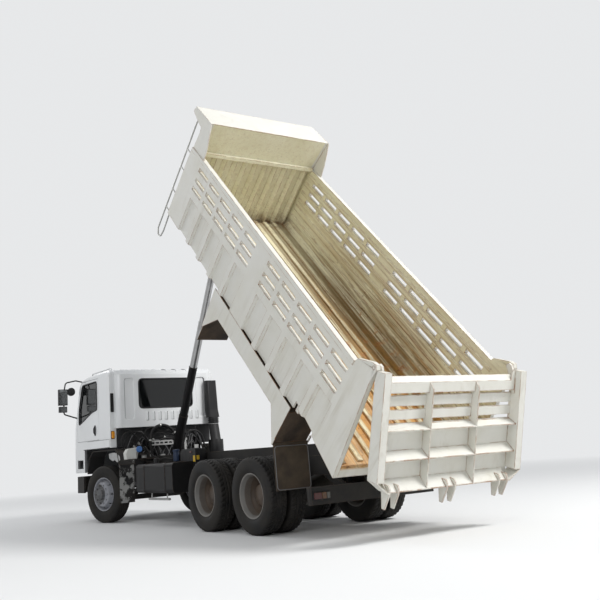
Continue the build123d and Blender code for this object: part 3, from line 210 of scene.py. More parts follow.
def make_dust():
    """Mask for dust: more of it on faces that look up, in cloudy patches."""
    n, given, out = new_group("Dust", ("Scale", "Float", 3), ("Amount", "Float", 0.5))
    place = n.coords()
    lying = n.ramp(n.parts(n.coords("Normal"))[2], -0.3, 0.9, 0.25, 1)
    patch = n.cloud(place, given["Scale"], 6, 0.6, 0.3, 0.72)
    grain = n.cloud(place, 60, 3, 0.6, 0.25, 0.75, 0.55, 1)
    n.feed(out[0], n.times(lying, patch, grain, given["Amount"], clamp=True))


def make_streaks():
    """Mask for runs of dirt: noise drawn out along the third axis of the vector it is given."""
    n, given, out = new_group("Streaks", ("Vector", "Vector", None), ("Scale", "Float", 14),
                              ("Stretch", "Float", 0.06), ("Amount", "Float", 0.5))
    x, y, z = n.parts(given["Vector"])
    drawn = n.add("CombineXYZ", {0: x, 1: y, 2: n.times(z, given["Stretch"])}).outputs[0]
    fine = n.cloud(drawn, given["Scale"], 5, 0.6, 0.5, 0.78)
    broad = n.cloud(given["Vector"], 1.3, 3, 0.5, 0.38, 0.66)
    n.feed(out[0], n.times(fine, broad, given["Amount"], clamp=True))


def make_rust():
    """Rust colour and mask: blotches with dark hearts and orange rims."""
    n, given, out = new_group("Rust", ("Vector", "Vector", None), ("Scale", "Float", 4),
                              ("Spread", "Float", 0.5), outputs=(("Mask", "Float"), ("Colour", "Color")))
    blotch = n.noise(given["Vector"], given["Scale"], 8, 0.68, 0.4)
    grain = n.noise(given["Vector"], 45, 4, 0.7)
    blend = n.math("ADD", n.times(blotch, 0.8), n.times(grain, 0.2))
    depth = n.math("SUBTRACT", blend, n.math("SUBTRACT", 0.74, n.times(given["Spread"], 0.42)))
    tone = n.add("ValToRGB", {0: n.ramp(depth, 0, 0.2)})
    stops = tone.color_ramp.elements
    stops[0].color = (0.48, 0.22, 0.06, 1)
    stops[1].color = (0.05, 0.022, 0.012, 1)
    stops.new(0.45).color = (0.2, 0.075, 0.022, 1)
    n.feed(out[0], n.ramp(depth, -0.02, 0.05))
    n.feed(out[1], tone.outputs[0])


def new_material(key, name):
    """Stores a material under the key; gives its nodes and its Object coordinates."""
    material = MATERIALS[key] = bpy.data.materials.new(name)
    material.use_nodes = True
    n = Nodes(material.node_tree)
    return n, n.coords()


def bed_vector(n, place):
    """Object coordinates turned to run along the raised bed: X along its floor, Z up from it."""
    start = Matrix.Rotation(TILT, 3, "Y") @ HINGE + BED_CORNER
    turn = {"Vector": place, "Rotation": (0, TILT, 0), "Location": -start}
    return n.add("Mapping", turn, vector_type="POINT").outputs[0]


def line_bed(n, along, base):
    """The lining over the bed's base colour. It covers what lies between the side walls and behind the front
    wall, and not the guard's upper and outer faces."""
    length, width, height = n.parts(along)

    def drawn(scale, across, detail, *limits):
        """Noise in lengthwise lines, put through a ramp."""
        stretched = n.vector_math("MULTIPLY", along, (0.22, across, across), output=0)
        return n.cloud(stretched, scale, detail, 0.65, *limits)

    within = n.times(n.ramp(n.math("ABSOLUTE", width), SIDE_INSIDE, SIDE_INSIDE - 0.006),
                     n.ramp(height, 0.12, 0.16), n.ramp(length, FRONT_INSIDE, FRONT_INSIDE - 0.015))
    upward = n.vector_math("DOT_PRODUCT", n.coords("Normal"), (-math.sin(TILT), 0, math.cos(TILT)))
    guard = n.times(n.ramp(height, GUARD_FOOT, GUARD_FOOT + 0.02), n.ramp(upward, 0.05, 0.15))
    within = n.math("SUBTRACT", within, guard, clamp=True)
    spread = n.times(n.ramp(height, 1.1, 0.2), n.ramp(length, 5.5, 0.8, 0.12, 1), within)
    cleaner = n.ramp(length, 0.6, 1.6, 0.35, 1)
    edges = n.effect("Edge wear", radius=0.018, patch_scale=2.5, amount=1)[0]
    rust, rust_colour = n.effect("Rust", vector=along, scale=4.5, spread=n.times(spread, 0.62))
    layers = (
        # cream in two tones
        ((within,), n.mix(n.cloud(along, 1.1, 5, 0.6, 0.35, 0.65), (0.79, 0.76, 0.58), (0.7, 0.66, 0.46))),
        # lines that grow towards the floor and the rear
        ((n.ramp(spread, 0.05, 0.55, 0.12, 0.8), drawn(2.4, 5, 6, 0.5, 0.6), within), (0.4, 0.23, 0.075)),
        # between the floor's strips, brown and at the rear orange
        ((n.ramp(height, FLOOR_TOP + 0.014, FLOOR_TOP), within, drawn(1.5, 2, 6, 0.3, 0.55, 0.55, 1),
          n.ramp(length, 5.6, 2.4, 0.55, 0.95)),
         n.mix(n.ramp(length, 3.2, 1), (0.16, 0.1, 0.03), (0.52, 0.24, 0.03))),
        # the strips' worn tops
        ((n.ramp(height, FLOOR_TOP + 0.008, STRIP_TOP), n.ramp(height, 0.3, 0.25), within,
          drawn(3, 3, 6, 0.4, 0.56, 1, 0.15), n.ramp(length, 3.4, 1.2, 0.4, 1)), (0.74, 0.64, 0.38)),
        # fine grooves
        ((drawn(6, 7, 3, 0.55, 0.61), n.ramp(spread, 0.02, 0.5, 0.1, 0.9), within), (0.16, 0.095, 0.03)),
        # the floor's brown middle
        ((n.ramp(height, 1, 0.2), n.ramp(length, 4.9, 3.4), n.ramp(length, 0.9, 1.8), within,
          drawn(3.5, 6, 6, 0.42, 0.56, 0.15, 0.85)), (0.17, 0.1, 0.028)),
        # worn edges, rust blotches and specks
        ((edges, within, n.ramp(spread, 0, 0.4, 0.5, 1), cleaner), (0.22, 0.11, 0.035)),
        ((rust, n.ramp(spread, 0.1, 0.5, 0, 0.85), cleaner), rust_colour),
        ((n.cloud(along, 22, 3, 0.6, 0.62, 0.68), within, n.ramp(spread, 0, 0.6, 0.2, 0.9)),
         (0.12, 0.05, 0.02)),
        # dirt at the front wall's foot
        ((n.ramp(length, 5.2, 5.7), n.ramp(height, 0.42, 0.2), within,
          n.cloud(along, 6, 5, 0.7, 0.4, 0.62, 0, 0.9)), (0.19, 0.105, 0.04)),
    )
    for factors, tone in layers:
        base = n.mix(n.times(*factors), base, tone)
    return base


def make_bed_paint(key, name, colour, inside=False, arch=False):
    """Bed paint: chalky off-white with dirt runs, freckles and rust at edges, lined inside. Under the arches,
    the faces that don't look sideways get a mottled dark brown painted shade."""
    n, place = new_material(key, name)
    along = bed_vector(n, place)
    faded = [part * k for part, k in zip(colour, (0.93, 0.92, 0.88))]
    base = n.mix(n.cloud(along, 2.2, 6, 0.6, 0.3, 0.7), colour, faded)
    runs = n.effect("Streaks", vector=along, scale=9, stretch=0.08, amount=0.6)[0]
    base = n.mix(runs, base, (0.4, 0.36, 0.27))
    if inside:
        base = line_bed(n, along, base)
    freckle = n.times(n.cloud(along, 9, 8, 0.75, 0.66, 0.7), n.cloud(along, 1.4, 3, 0.55, 0.5, 0.62), 0.8)
    base = n.mix(freckle, base, (0.3, 0.13, 0.045))
    if arch:
        # Arches: faces that don't look sideways get painted shade, a mottled dark brown
        facing = n.math("ABSOLUTE", n.parts(n.coords("Normal"))[1])
        brown = n.mix(n.cloud(along, 4, 6, 0.65, 0.35, 0.65), (0.035, 0.026, 0.02), (0.1, 0.07, 0.045))
        base = n.mix(n.ramp(facing, 0.7, 0.5), base, brown)
    worn = n.effect("Edge wear", radius=0.018, patch_scale=5, amount=1)[0]
    base = n.mix(worn, base, (0.27, 0.12, 0.045))
    grain = n.noise(along, 55, 5, 0.6)
    n.finish(base, n.ramp(grain, 0.3, 0.7, 0.42, 0.62), grain, 0.12)


def make_cab_paint(colour):
    """Glossy cab paint with a thin film of dirt lower down, a black floor pan underneath, a black sound
    shield low on the rear wall, and a grey lining on faces that look towards the middle of the cab."""
    n, place = new_material("cab", "Cab paint")
    x, y, z = n.parts(place)
    normal = n.coords("Normal")
    runs = n.effect("Streaks", vector=place, scale=7, stretch=0.12, amount=0.5)[0]
    dust = n.effect("Dust", scale=2.5, amount=0.45)[0]
    dirt = n.times(n.largest(runs, dust), n.ramp(z, 1.9, 1, 0.15, 0.9))
    from_middle = n.vector_math("SUBTRACT", place, at(0.35, 0, 2.1), output=0)
    within = n.ramp(n.vector_math("DOT_PRODUCT", normal, from_middle), 0.005, -0.005)
    under = n.times(n.ramp(n.parts(normal)[2], -0.4, -0.6), n.ramp(z, CAB_FLOOR, CAB_FLOOR - 0.05))
    shield = n.times(n.ramp(z, SHIELD_TOP, SHIELD_TOP - 0.003),
                     n.ramp(x, FRONT_X + SHIELD_FRONT, FRONT_X + SHIELD_FRONT - 0.01),
                     n.ramp(n.math("ABSOLUTE", y), SHIELD_HALF, SHIELD_HALF - 0.005))
    dark = n.largest(under, shield)
    matt = n.largest(within, dark)
    base = colour
    for factor, tone in ((dirt, (0.36, 0.33, 0.27)), (within, (0.2, 0.2, 0.205)),
                         (dark, (0.018, 0.018, 0.019))):
        base = n.mix(factor, base, tone)
    rough = n.largest(n.ramp(dirt, 0, 0.6, 0.2, 0.6), n.times(matt, 0.6))
    n.finish(base, rough, n.noise(place, 160, 2, 0.5), 0.02, 0.001,
             {"Coat Weight": n.math("SUBTRACT", 0.6, matt, clamp=True), "Coat Roughness": 0.05})


def make_rim_paint(key, name, bright, dish, dirt, axles, reach):
    """Wheel paint: a pale ring outside the given distance from the nearest axle, over a dirty dish inside
    it."""
    n, place = new_material(key, name)
    x, _, z = n.parts(place)
    nearest = 10
    for axle in axles:
        level = n.add("CombineXYZ", {0: n.math("SUBTRACT", x, FRONT_X + axle),
                                     2: n.math("SUBTRACT", z, FRONT_AXLE.z)}).outputs[0]
        nearest = n.math("MINIMUM", nearest, n.vector_math("LENGTH", level))
    base = n.mix(n.cloud(place, 7, 5, 0.6, 0.3, 0.7), dish, dirt)
    base = n.mix(n.ramp(nearest, reach - 0.006, reach), base, bright)
    dust = n.effect("Dust", scale=5, amount=0.45)[0]
    base = n.mix(dust, base, (0.17, 0.14, 0.11))
    base = n.mix(n.effect("Edge wear", radius=0.006, patch_scale=12, amount=0.5)[0], base, (0.2, 0.11, 0.06))
    n.finish(base, n.ramp(dust, 0, 0.6, 0.42, 0.75), n.noise(place, 80, 4, 0.6), 0.1)


def make_lens(key, name, colour, transmission=0):
    """Moulded lamp lens: tinted, with fine upright flutes."""
    n, place = new_material(key, name)
    flute = n.add("TexWave", {"Vector": place, "Scale": 38}, bands_direction="Y").outputs["Fac"]
    n.finish(n.mix(flute, colour, shade(colour, 0.75)), 0.15, flute, 0.25,
             others={"Transmission Weight": transmission, "IOR": 1.49})


def make_chassis_paint(key, name, colour, dirt, amount, roughness, dried=False):
    """Dark chassis paint under dust, with worn edges; dried adds cakes of pale mud on the flaps behind the
    front wheels."""
    n, place = new_material(key, name)
    dust = n.effect("Dust", scale=2.6, amount=amount)[0]
    base = n.mix(dust, colour, dirt)
    base = n.mix(n.effect("Edge wear", radius=0.008, patch_scale=11, amount=0.7)[0], base, (0.16, 0.11, 0.08))
    if dried:
        caked = n.times(n.ramp(n.parts(place)[0], FRONT_X + MUD_START, FRONT_X + MUD_START - 0.03),
                        n.cloud(place, 4.5, 5, 0.65, 0.5, 0.56))
        base = n.mix(caked, base, (0.3, 0.3, 0.29))
    n.finish(base, n.ramp(dust, 0, 0.7, roughness, 0.9), n.noise(place, 70, 5, 0.65), 0.15,
             others={"Specular IOR Level": 0.22})


def make_steel(key, name, colour, roughness, metallic, dirt=0.4):
    """Bare or galvanised metal with fine scratches and patches of grime."""
    n, place = new_material(key, name)
    fine = n.noise(place, 120, 3, 0.7)
    base = n.mix(n.cloud(place, 6, 4, 0.55, 0.35, 0.7), colour, shade(colour, 0.8))
    base = n.mix(n.effect("Dust", scale=5, amount=dirt)[0], base, (0.15, 0.12, 0.09))
    n.finish(base, n.ramp(fine, 0.3, 0.7, roughness, roughness + 0.15), fine, 0.08,
             others={"Metallic": metallic})


def make_rubber(key, name, colour, dirt, amount):
    """Rubber under road dust."""
    n, place = new_material(key, name)
    dust = n.times(n.cloud(place, 3.5, 6, 0.6, 0.32, 0.7), amount)
    n.finish(n.mix(dust, colour, dirt), n.ramp(dust, 0, 0.6, 0.55, 0.85), n.noise(place, 110, 4, 0.6), 0.2,
             others={"Specular IOR Level": 0.2})


def make_glass():
    """Tinted safety glass with a light film of dust."""
    n, place = new_material("glass", "Glass")
    n.finish((0.008, 0.01, 0.011), n.cloud(place, 5, 5, 0.6, 0.4, 0.8, 0.03, 0.22),
             others={"Transmission Weight": 0.6, "IOR": 1.5})


def make_fabric(key, name, colour):
    """Woven seat cloth: two crossed waves for warp and weft."""
    n, place = new_material(key, name)
    warp, weft = (n.add("TexWave", {"Vector": place, "Scale": 140, "Distortion": 0.4},
                        bands_direction=way).outputs["Fac"] for way in "YZ")
    weave = n.times(warp, weft)
    n.finish(n.mix(weave, colour, shade(colour, 1.7)), 0.9, weave, 0.4, others={"Sheen Weight": 0.3})


def make_plain(key, name, colour, roughness, dust=0.25):
    """A moulded or enamelled finish with a fine grain."""
    n, place = new_material(key, name)
    grain = n.noise(place, 180, 3, 0.6)
    base = n.mix(n.effect("Dust", scale=6, amount=dust)[0], colour, (0.3, 0.27, 0.22))
    n.finish(base, n.ramp(grain, 0.3, 0.7, roughness, roughness + 0.1), grain, 0.06,
             others={"Specular IOR Level": 0.3})


def make_materials(paint):
    """All the finishes, by the names the rest of the script uses."""
    for make in (make_edge_wear, make_dust, make_streaks, make_rust):
        make()
    mud = tuple(paint.dust)
    make_bed_paint("bed", "Bed paint", paint.bed)
    make_bed_paint("bed_inside", "Bed paint and lining", paint.bed, inside=True)
    make_bed_paint("bed_arch", "Arch paint", paint.bed, arch=True)
    make_cab_paint(paint.cab)
    make_chassis_paint("chassis", "Chassis paint", paint.chassis, mud, 0.38, 0.55)
    make_chassis_paint("tank", "Tank paint", shade(paint.chassis, 0.6), mud, 0.06, 0.5)
    make_chassis_paint("mudguard", "Mudguard paint", paint.chassis, mud, 0.3, 0.6, dried=True)
    make_chassis_paint("engine", "Cast iron", (0.07, 0.07, 0.073), mud, 0.6, 0.6)
    make_rim_paint("rim", "Rear wheel paint", (0.16, 0.155, 0.145), (0.05, 0.036, 0.027), (0.1, 0.07, 0.048),
                   REAR_AXLES, 0.268)
    make_rim_paint("front_rim", "Front wheel paint", (0.3, 0.31, 0.34), (0.1, 0.105, 0.115),
                   (0.05, 0.05, 0.05), (0,), 0.2)
    make_steel("steel", "Galvanised steel", (0.55, 0.55, 0.53), 0.35, 0.85)
    make_steel("chrome", "Rod chrome", (0.5, 0.5, 0.5), 0.22, 1, 0.5)
    make_steel("cast", "Cast aluminium", (0.5, 0.5, 0.49), 0.45, 0.5, 0.35)
    make_steel("mirror", "Mirror glass", (0.7, 0.72, 0.73), 0.04, 1, 0.1)
    make_rubber("tyre", "Tyre rubber", (0.009, 0.009, 0.0095), (0.07, 0.06, 0.046), 0.34)
    make_rubber("flap", "Flap rubber", (0.052, 0.04, 0.03), (0.15, 0.115, 0.078), 0.55)
    make_glass()
    make_fabric("fabric", "Seat cloth", (0.07, 0.075, 0.09))
    make_plain("plastic", "Black plastic", (0.008, 0.008, 0.009), 0.4, 0.06)
    make_plain("grey", "Grey plastic", (0.16, 0.16, 0.165), 0.6)
    make_plain("hose", "Hose rubber", (0.008, 0.008, 0.009), 0.45, 0.12)
    make_plain("white", "Bottle plastic", (0.62, 0.62, 0.58), 0.35, 0.35)
    make_plain("navy", "Navy enamel", (0.012, 0.03, 0.075), 0.4, 0.2)
    make_plain("blue", "Blue plastic", (0.05, 0.16, 0.42), 0.4, 0.3)
    make_plain("yellow", "Yellow plate", (0.62, 0.4, 0.03), 0.4, 0.3)
    make_lens("amber", "Amber lens", (0.85, 0.34, 0.02))
    make_lens("red", "Red lens", (0.07, 0.012, 0.01))
    make_lens("clear", "Clear lens", (0.75, 0.77, 0.78), 0.7)
    make_lens("dull_amber", "Dirty amber lens", (0.11, 0.05, 0.02))
    make_lens("dull_clear", "Dirty clear lens", (0.1, 0.095, 0.085))


# Finish, radius of the rounded edges, and how the names of its CAD nodes start
NODE_FINISH = (
    ("bed_inside", 0.004, ("bed_floor", "bed_left_side", "bed_right_side", "bed_front_wall", "cab_guard")),
    ("bed", 0.004, ("tailgate",)),
    ("bed_arch", 0.004, ("wheel_boxes",)),
    ("chassis", 0.004, ("chassis_", "bed_subframe", "front_axle_beam", "leaf_springs", "rear_axles",
                        "propshafts", "battery_box", "rear_underrun", "bed_runners", "front_bumper")),
    ("mudguard", 0.004, ("front_mudguards",)),
    ("plastic", 0.003, ("mirrors", "air_duct", "air_intake")),
    ("tank", 0.004, ("fuel_tank", "air_tanks", "hoist_barrel", "hoist_stage_1")),
    ("chrome", 0, ("hoist_stage_",)),
    ("engine", 0.004, ("engine", "silencer", "knuckle_")),
    ("front_rim", 0.003, ("front_rim_",)),
    ("rim", 0.003, ("rear_rims_",)),
    ("tyre", 0, ("front_tyre_", "rear_tyres_")),
    ("cab", 0.006, ("cab_floor", "cab_front_panel", "cab_back_panel", "cab_roof", "door_left", "door_right")),
    ("glass", 0, ("cab_glass", "door_pane_")),
    ("fabric", 0.02, ("cab_seats",)),
    ("grey", 0.004, ("dashboard",)),
    ("steel", 0, ("ladder",)),
    ("flap", 0, ("mudflap_",)),
)
NODE_WELD, NODE_SHARP = 0.00002, 32  # distance in metres that joins points, and degrees at a sharp edge


class PaintSettings(bpy.types.PropertyGroup):
    """Colours of the truck's finishes."""
    cab: FloatVectorProperty(name="Cab", description="Cab paint", subtype="COLOR", default=(0.8, 0.81, 0.81))
    bed: FloatVectorProperty(name="Bed", description="Bed paint outside", subtype="COLOR",
                             default=(0.7, 0.69, 0.64))
    chassis: FloatVectorProperty(name="Chassis", description="Chassis paint", subtype="COLOR",
                                 default=(0.014, 0.014, 0.015))
    dust: FloatVectorProperty(name="Dust", description="Road dust", subtype="COLOR",
                              default=(0.19, 0.16, 0.12))


def round_edges(obj, width, degrees):
    """Rounds the edges that are sharper than that many degrees."""
    bevel = obj.modifiers.new("Rounded edges", "BEVEL")
    bevel.width = width
    bevel.segments = 2
    bevel.limit_method = "ANGLE"
    bevel.angle_limit = math.radians(degrees)


class TRUCK_OT_finishes(bpy.types.Operator):
    """Makes the materials and gives each carried-over node its finish and its rounded edges"""
    bl_idname = "truck.finishes"
    bl_label = "Finishes"

    def execute(self, context):
        make_materials(context.scene.truck_paint)
        for name, node in NODES.items():
            finish, radius = next(row[:2] for row in NODE_FINISH if name.startswith(row[2]))
            node.data.materials.clear()
            node.data.materials.append(MATERIALS[finish])
            if radius:
                node.modifiers.new("Weld", "WELD").merge_threshold = NODE_WELD
                round_edges(node, radius, NODE_SHARP)
        return {"FINISHED"}


# Shapes: each is (points, faces), worked out as whole arrays


def smooth_path(points, per_span=8):
    """Curve through the points: on each span a cubic whose slope at either end is half the chord between the
    neighbours of that end."""
    given = np.asarray(points, float)
    given = np.vstack((2 * given[0] - given[1], given, 2 * given[-1] - given[-2]))
    t = np.linspace(0, 1, per_span, endpoint=False)[None, :, None]
    a, b, c, d = (given[k:len(given) - 3 + k, None, :] for k in range(4))
    curve = 0.5 * (2 * b + (c - a) * t + (2 * a - 5 * b + 4 * c - d) * t ** 2
                   + (3 * b - a - 3 * c + d) * t ** 3)
    return np.vstack((curve.reshape(-1, 3), given[-2]))


def grid(points, round_u=False, round_v=False, ends=False):
    """Quads over a grid of points: rows run along u and columns along v. round_u and round_v join the last to
    the first, and ends closes the first and last row with one face each."""
    rows, columns = points.shape[:2]
    number = np.arange(rows * columns).reshape(rows, columns)
    caps = [number[:1, ::-1], number[-1:]] if ends else []
    if round_v:
        number = np.hstack((number, number[:, :1]))
    if round_u:
        number = np.vstack((number, number[:1]))
    corners = (number[:-1, :-1], number[:-1, 1:], number[1:, 1:], number[1:, :-1])
    return points.reshape(-1, 3), [np.stack(corners, -1).reshape(-1, 4)] + caps


def unit(vectors):
    return vectors / np.linalg.norm(vectors, axis=-1, keepdims=True)


def tube(points, radius, sides=10, per_span=8, closed=False, straight=False):
    """Round bar or hose: at each point of the path, a circle of that radius square to the path's
    direction."""
    path = np.asarray(points, float) if straight else smooth_path(points, per_span)
    along = unit(np.roll(path, -1, 0) - np.roll(path, 1, 0) if closed else np.gradient(path, axis=0))
    first = unit(np.cross(along, np.eye(3)[np.argmin(np.abs(along).max(axis=0))]))
    second = np.cross(along, first)
    angle = np.linspace(0, 2 * np.pi, sides, endpoint=False)[None, :, None]
    rings = path[:, None] + radius * (np.cos(angle) * first[:, None] + np.sin(angle) * second[:, None])
    return grid(rings, round_u=closed, round_v=True, ends=not closed)


def turned(profile, centre, axis, steps):
    """Turned form: each (radius, along) of the profile is carried round the axis through centre in a
    circle."""
    profile = np.asarray(profile, float)
    axis = unit(np.asarray(axis, float))
    first = unit(np.cross(axis, np.eye(3)[np.argmin(np.abs(axis))]))
    second = np.cross(axis, first)
    angle = np.linspace(0, 2 * np.pi, steps, endpoint=False)[None, :, None]
    radius, along = profile[:, 0, None, None], profile[:, 1, None, None]
    return grid(np.asarray(centre) + along * axis + radius * (np.cos(angle) * first + np.sin(angle) * second),
                round_v=True, ends=True)


def prism(outline, thick, across, upward, origin):
    """Straight prism: the outline, on the across and upward axes from the origin, and the same carried by the
    thickness along their cross product."""
    outline, across, upward = (np.asarray(v, float) for v in (outline, across, upward))
    p, q = outline.T
    if np.sum(p * np.roll(q, -1) - q * np.roll(p, -1)) < 0:
        outline = outline[::-1]
    base = np.asarray(origin) + outline[:, :1] * across + outline[:, 1:] * upward
    return grid(np.stack((base, base + thick * np.cross(across, upward))), round_v=True, ends=True)


def rounded(outline, radius, steps=5):
    """The outline with its corners rounded: each is swapped for the curve from radius before it to radius
    after it that bends towards it, a parabola."""
    corner = np.asarray(outline, float)
    before = corner + radius * unit(np.roll(corner, 1, 0) - corner)
    after = corner + radius * unit(np.roll(corner, -1, 0) - corner)
    t = np.linspace(0, 1, steps)[None, :, None]
    curve = (1 - t) ** 2 * before[:, None] + 2 * t * (1 - t) * corner[:, None] + t ** 2 * after[:, None]
    return curve.reshape(-1, corner.shape[1])


def rectangle(p, q, far_p, far_q, radius=0.0):
    """Outline between two opposite corners, given in either order."""
    (p, far_p), (q, far_q) = sorted((p, far_p)), sorted((q, far_q))
    outline = [(p, q), (far_p, q), (far_p, far_q), (p, far_q)]
    return rounded(outline, radius) if radius else np.array(outline)


def plate(x, thick, *corners):
    """Plate that faces along X, from x forwards, between two corners (y, z) and with a corner radius."""
    return prism(rectangle(*corners), thick, Y, Z, at(x, 0, 0))


def side_plate(y, thick, *corners):
    """Plate that faces along Y, from y to the right, between two corners (x, z) and with a corner radius."""
    return prism(rectangle(*corners), thick, X, Z, (FRONT_X, y, 0))


def block(low, high, radius=0.0):
    """Box between two corners given from the front axle, its upright edges rounded by radius."""
    return prism(rectangle(low[0], low[1], high[0], high[1], radius), high[2] - low[2], X, Y,
                 at(0, 0, low[2]))


def piece(name, shapes, finish, body="chassis", bevel=0.0, sharp=38.0):
    """One object of several shapes, with its finish, riding on its body. Edges sharper than that many degrees
    stay crisp, and bevel rounds them."""
    points, faces, start = [], [], 0
    for corners, blocks in shapes:
        points.append(corners)
        for rows in blocks:
            faces += (rows + start).tolist()
        start += len(corners)
    mesh = bpy.data.meshes.new(name)
    mesh.from_pydata(np.vstack(points).tolist(), [], faces)
    mesh.update()
    mesh.shade_smooth()
    mesh.set_sharp_from_angle(angle=math.radians(sharp))
    obj = bpy.data.objects.new(name, mesh)
    bpy.context.scene.collection.objects.link(obj)
    mesh.materials.append(MATERIALS[finish])
    if bevel:
        round_edges(obj, bevel, sharp)
    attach(obj, body)
    return obj


def both(make):
    """The same shapes on the left (side 1) and on the right (side -1)."""
    return [shape for side in SIDES for shape in make(side)]


def plates(name, finish, body, bevel, *rows):
    """A piece of plates that face along X, on both sides. A row gives x, thickness, two corners (y, z) and a
    corner radius."""
    shapes = both(lambda side: [plate(x, thick, side * y, z, side * far_y, far_z, radius)
                                for x, thick, y, z, far_y, far_z, radius in rows])
    piece(name, shapes, finish, body, bevel)


class TyreSettings(bpy.types.PropertyGroup):
    """The tyres' tread."""
    depth: FloatProperty(name="Tread depth", description="Depth of the grooves", default=0.012, unit="LENGTH")
    groove: FloatProperty(name="Groove width", description="Width of a groove at the top", default=0.011,
                          unit="LENGTH")
    lugs: IntProperty(name="Lugs", description="Tread lugs round a drive tyre", default=44, min=12)
    steps: IntProperty(name="Steps", description="Steps round a tyre for each lug", default=5, min=3)


# Side of a tyre's section from the bead to the tread, as (radius, distance from its middle)
TYRE_HALF = ((0.2945, 0.088), (0.2975, 0.108), (0.307, 0.119), (0.316, 0.1215), (0.328, 0.129),
             (0.345, 0.137), (0.37, 0.1432), (0.395, 0.145), (0.42, 0.1445), (0.445, 0.1415), (0.462, 0.139),
             (0.468, 0.1385), (0.486, 0.1345), (0.5, 0.1295), (0.511, 0.123))
CROWN_RADIUS, CROWN_DROP, TREAD_EDGE = 0.5225, 0.005, 0.118
TREAD_LOWEST, TREAD_SIDE = 0.508, 0.124  # where the grooves end
LUG_PITCH, NICK_PITCH, LUG_SLANT, BAR_SLANT = 0.075, 0.037, 7, 5


def tyre_shape(centre, axis, drive, settings):
    """A tyre with its tread. The section, bead to bead, is swept round the axle in a circle. On the tread the
    radius falls by the groove depth where a point lies near a groove: its distance from the groove's line,
    which zigzags as a triangle wave of the angle, goes through a smooth step. Drive tyres also have slanted
    cross grooves from the shoulders, in step with the lugs, and steering tyres have narrow nicks along
    straight grooves."""
    side = np.array(TYRE_HALF)
    tread = np.linspace(-TREAD_EDGE, TREAD_EDGE, 51)
    crown = CROWN_RADIUS - CROWN_DROP * (np.abs(tread) / TREAD_EDGE) ** 2.5
    radius = np.concatenate((side[:, 0], crown, side[::-1, 0]))[None, :]
    across = np.concatenate((-side[:, 1], tread, side[::-1, 1]))[None, :]
    off = np.abs(across)
    angle = np.linspace(0, 2 * np.pi, settings.lugs * settings.steps, endpoint=False)
    phase = (angle * settings.lugs / (2 * np.pi))[:, None]
    wave = 2 * np.abs(2 * (phase % 1) - 1) - 1

    def cut(distance, width):
        return 1 - np.clip((np.abs(distance) - width * 0.45) / (width * 0.75), 0, 1) ** 2

    def zigzag(swing, *middles):
        return np.max([cut(across - middle - swing * wave, settings.groove / 2) for middle in middles],
                      axis=0)

    if drive:
        lug = cut(((phase + off * LUG_SLANT) % 1 - 0.5) * LUG_PITCH, 0.011) * (off > 0.05)
        bar = cut(((phase + across * BAR_SLANT + 0.5) % 1 - 0.5) * LUG_PITCH, 0.005) * 0.6 * (off < 0.05)
        depth = np.maximum(zigzag(0.006, -0.048, 0.0, 0.048), np.maximum(lug, bar))
    else:
        nick = cut(((phase * 2) % 1 - 0.5) * NICK_PITCH, 0.004) * (off > 0.104) * 0.7
        depth = np.maximum(zigzag(0.0025, -0.075, -0.027, 0.027, 0.075), nick)
    reach = radius - settings.depth * depth * ((radius > TREAD_LOWEST) & (off <= TREAD_SIDE))
    axis = unit(np.asarray(axis, float))
    first = unit(np.cross(axis, Z))
    ring = np.cos(angle)[:, None] * first + np.sin(angle)[:, None] * np.cross(axis, first)
    points = np.asarray(centre) + across.T[:, :, None] * axis + reach.T[:, :, None] * ring
    return grid(points, round_u=True, round_v=True)


class TRUCK_OT_tyres(bpy.types.Operator):
    """Ten tyres with tread, in place of the plain ones"""
    bl_idname = "truck.tyres"
    bl_label = "Tyres"

    def execute(self, context):
        settings = context.scene.truck_tyres
        for name in SIDES.values():
            rows = [(f"steer_tyre_{name}", f"front_tyre_{name}", f"front_wheel_{name}",
                     JOINTS[f"front_wheel_{name}_spin"]["axis"], (0,))]
            rows += [(f"drive_tyres_{axle}_{name}", f"rear_tyres_{axle}_{name}", f"rear_wheels_{axle}_{name}",
                      Y, (TWIN / 2, -TWIN / 2)) for axle in (1, 2)]
            for new, node, body, axis, offsets in rows:
                low, high = (np.array(corner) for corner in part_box(node))
                shapes = [tyre_shape((low + high) / 2 + offset * Y, axis, axis is Y, settings)
                          for offset in offsets]
                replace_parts(piece(new, shapes, "tyre", body, sharp=30), node)
        return {"FINISHED"}


DOOR_WINDOW = ((0.13, 2.13), (0.4, 2.095), (1.11, 1.88), (1.095, 2.2), (0.885, 2.68), (0.13, 2.69))


def on_plane(axis, place, rows):
    """Points of two numbers set on the plane at that place along X (axis 0) or Y (axis 1), from the front
    axle."""
    return np.insert(np.asarray(rows, float), axis, place, axis=1) + at(0, 0, 0)


def louvre(y, z, width, height, proud):
    """Pressed louvre in the cab's rear wall: a sheet that stands out by a smooth step across its width, from
    flush on the left to proud on the right, and falls back to the wall at its top and bottom ends."""
    across = np.linspace(0, 1, 9)[None, :]
    up = np.linspace(0, 1, 13)[:, None]
    step = across * across * (3 - 2 * across)
    ends = np.clip(np.minimum(up, 1 - up) * 9, 0, 1) ** 0.6
    x = CAB_REAR + 0.004 - (proud + 0.004) * step * ends
    sheet = np.stack((FRONT_X + x, y - width * across + 0 * up, z + height * (up - 0.5) + 0 * across), -1)
    points, faces = grid(sheet)
    return points, [faces[0][:, ::-1]]


class TrimSettings(bpy.types.PropertyGroup):
    """Sizes of the cab's fittings."""
    rubber: FloatProperty(name="Window rubber", description="Radius of the window rubbers", default=0.012,
                          unit="LENGTH")
    louvres: IntProperty(name="Louvres", description="Louvres under the rear window", default=9, min=1)
    fins: IntProperty(name="Vent fins", description="Fins of the vent behind each door", default=14, min=2)


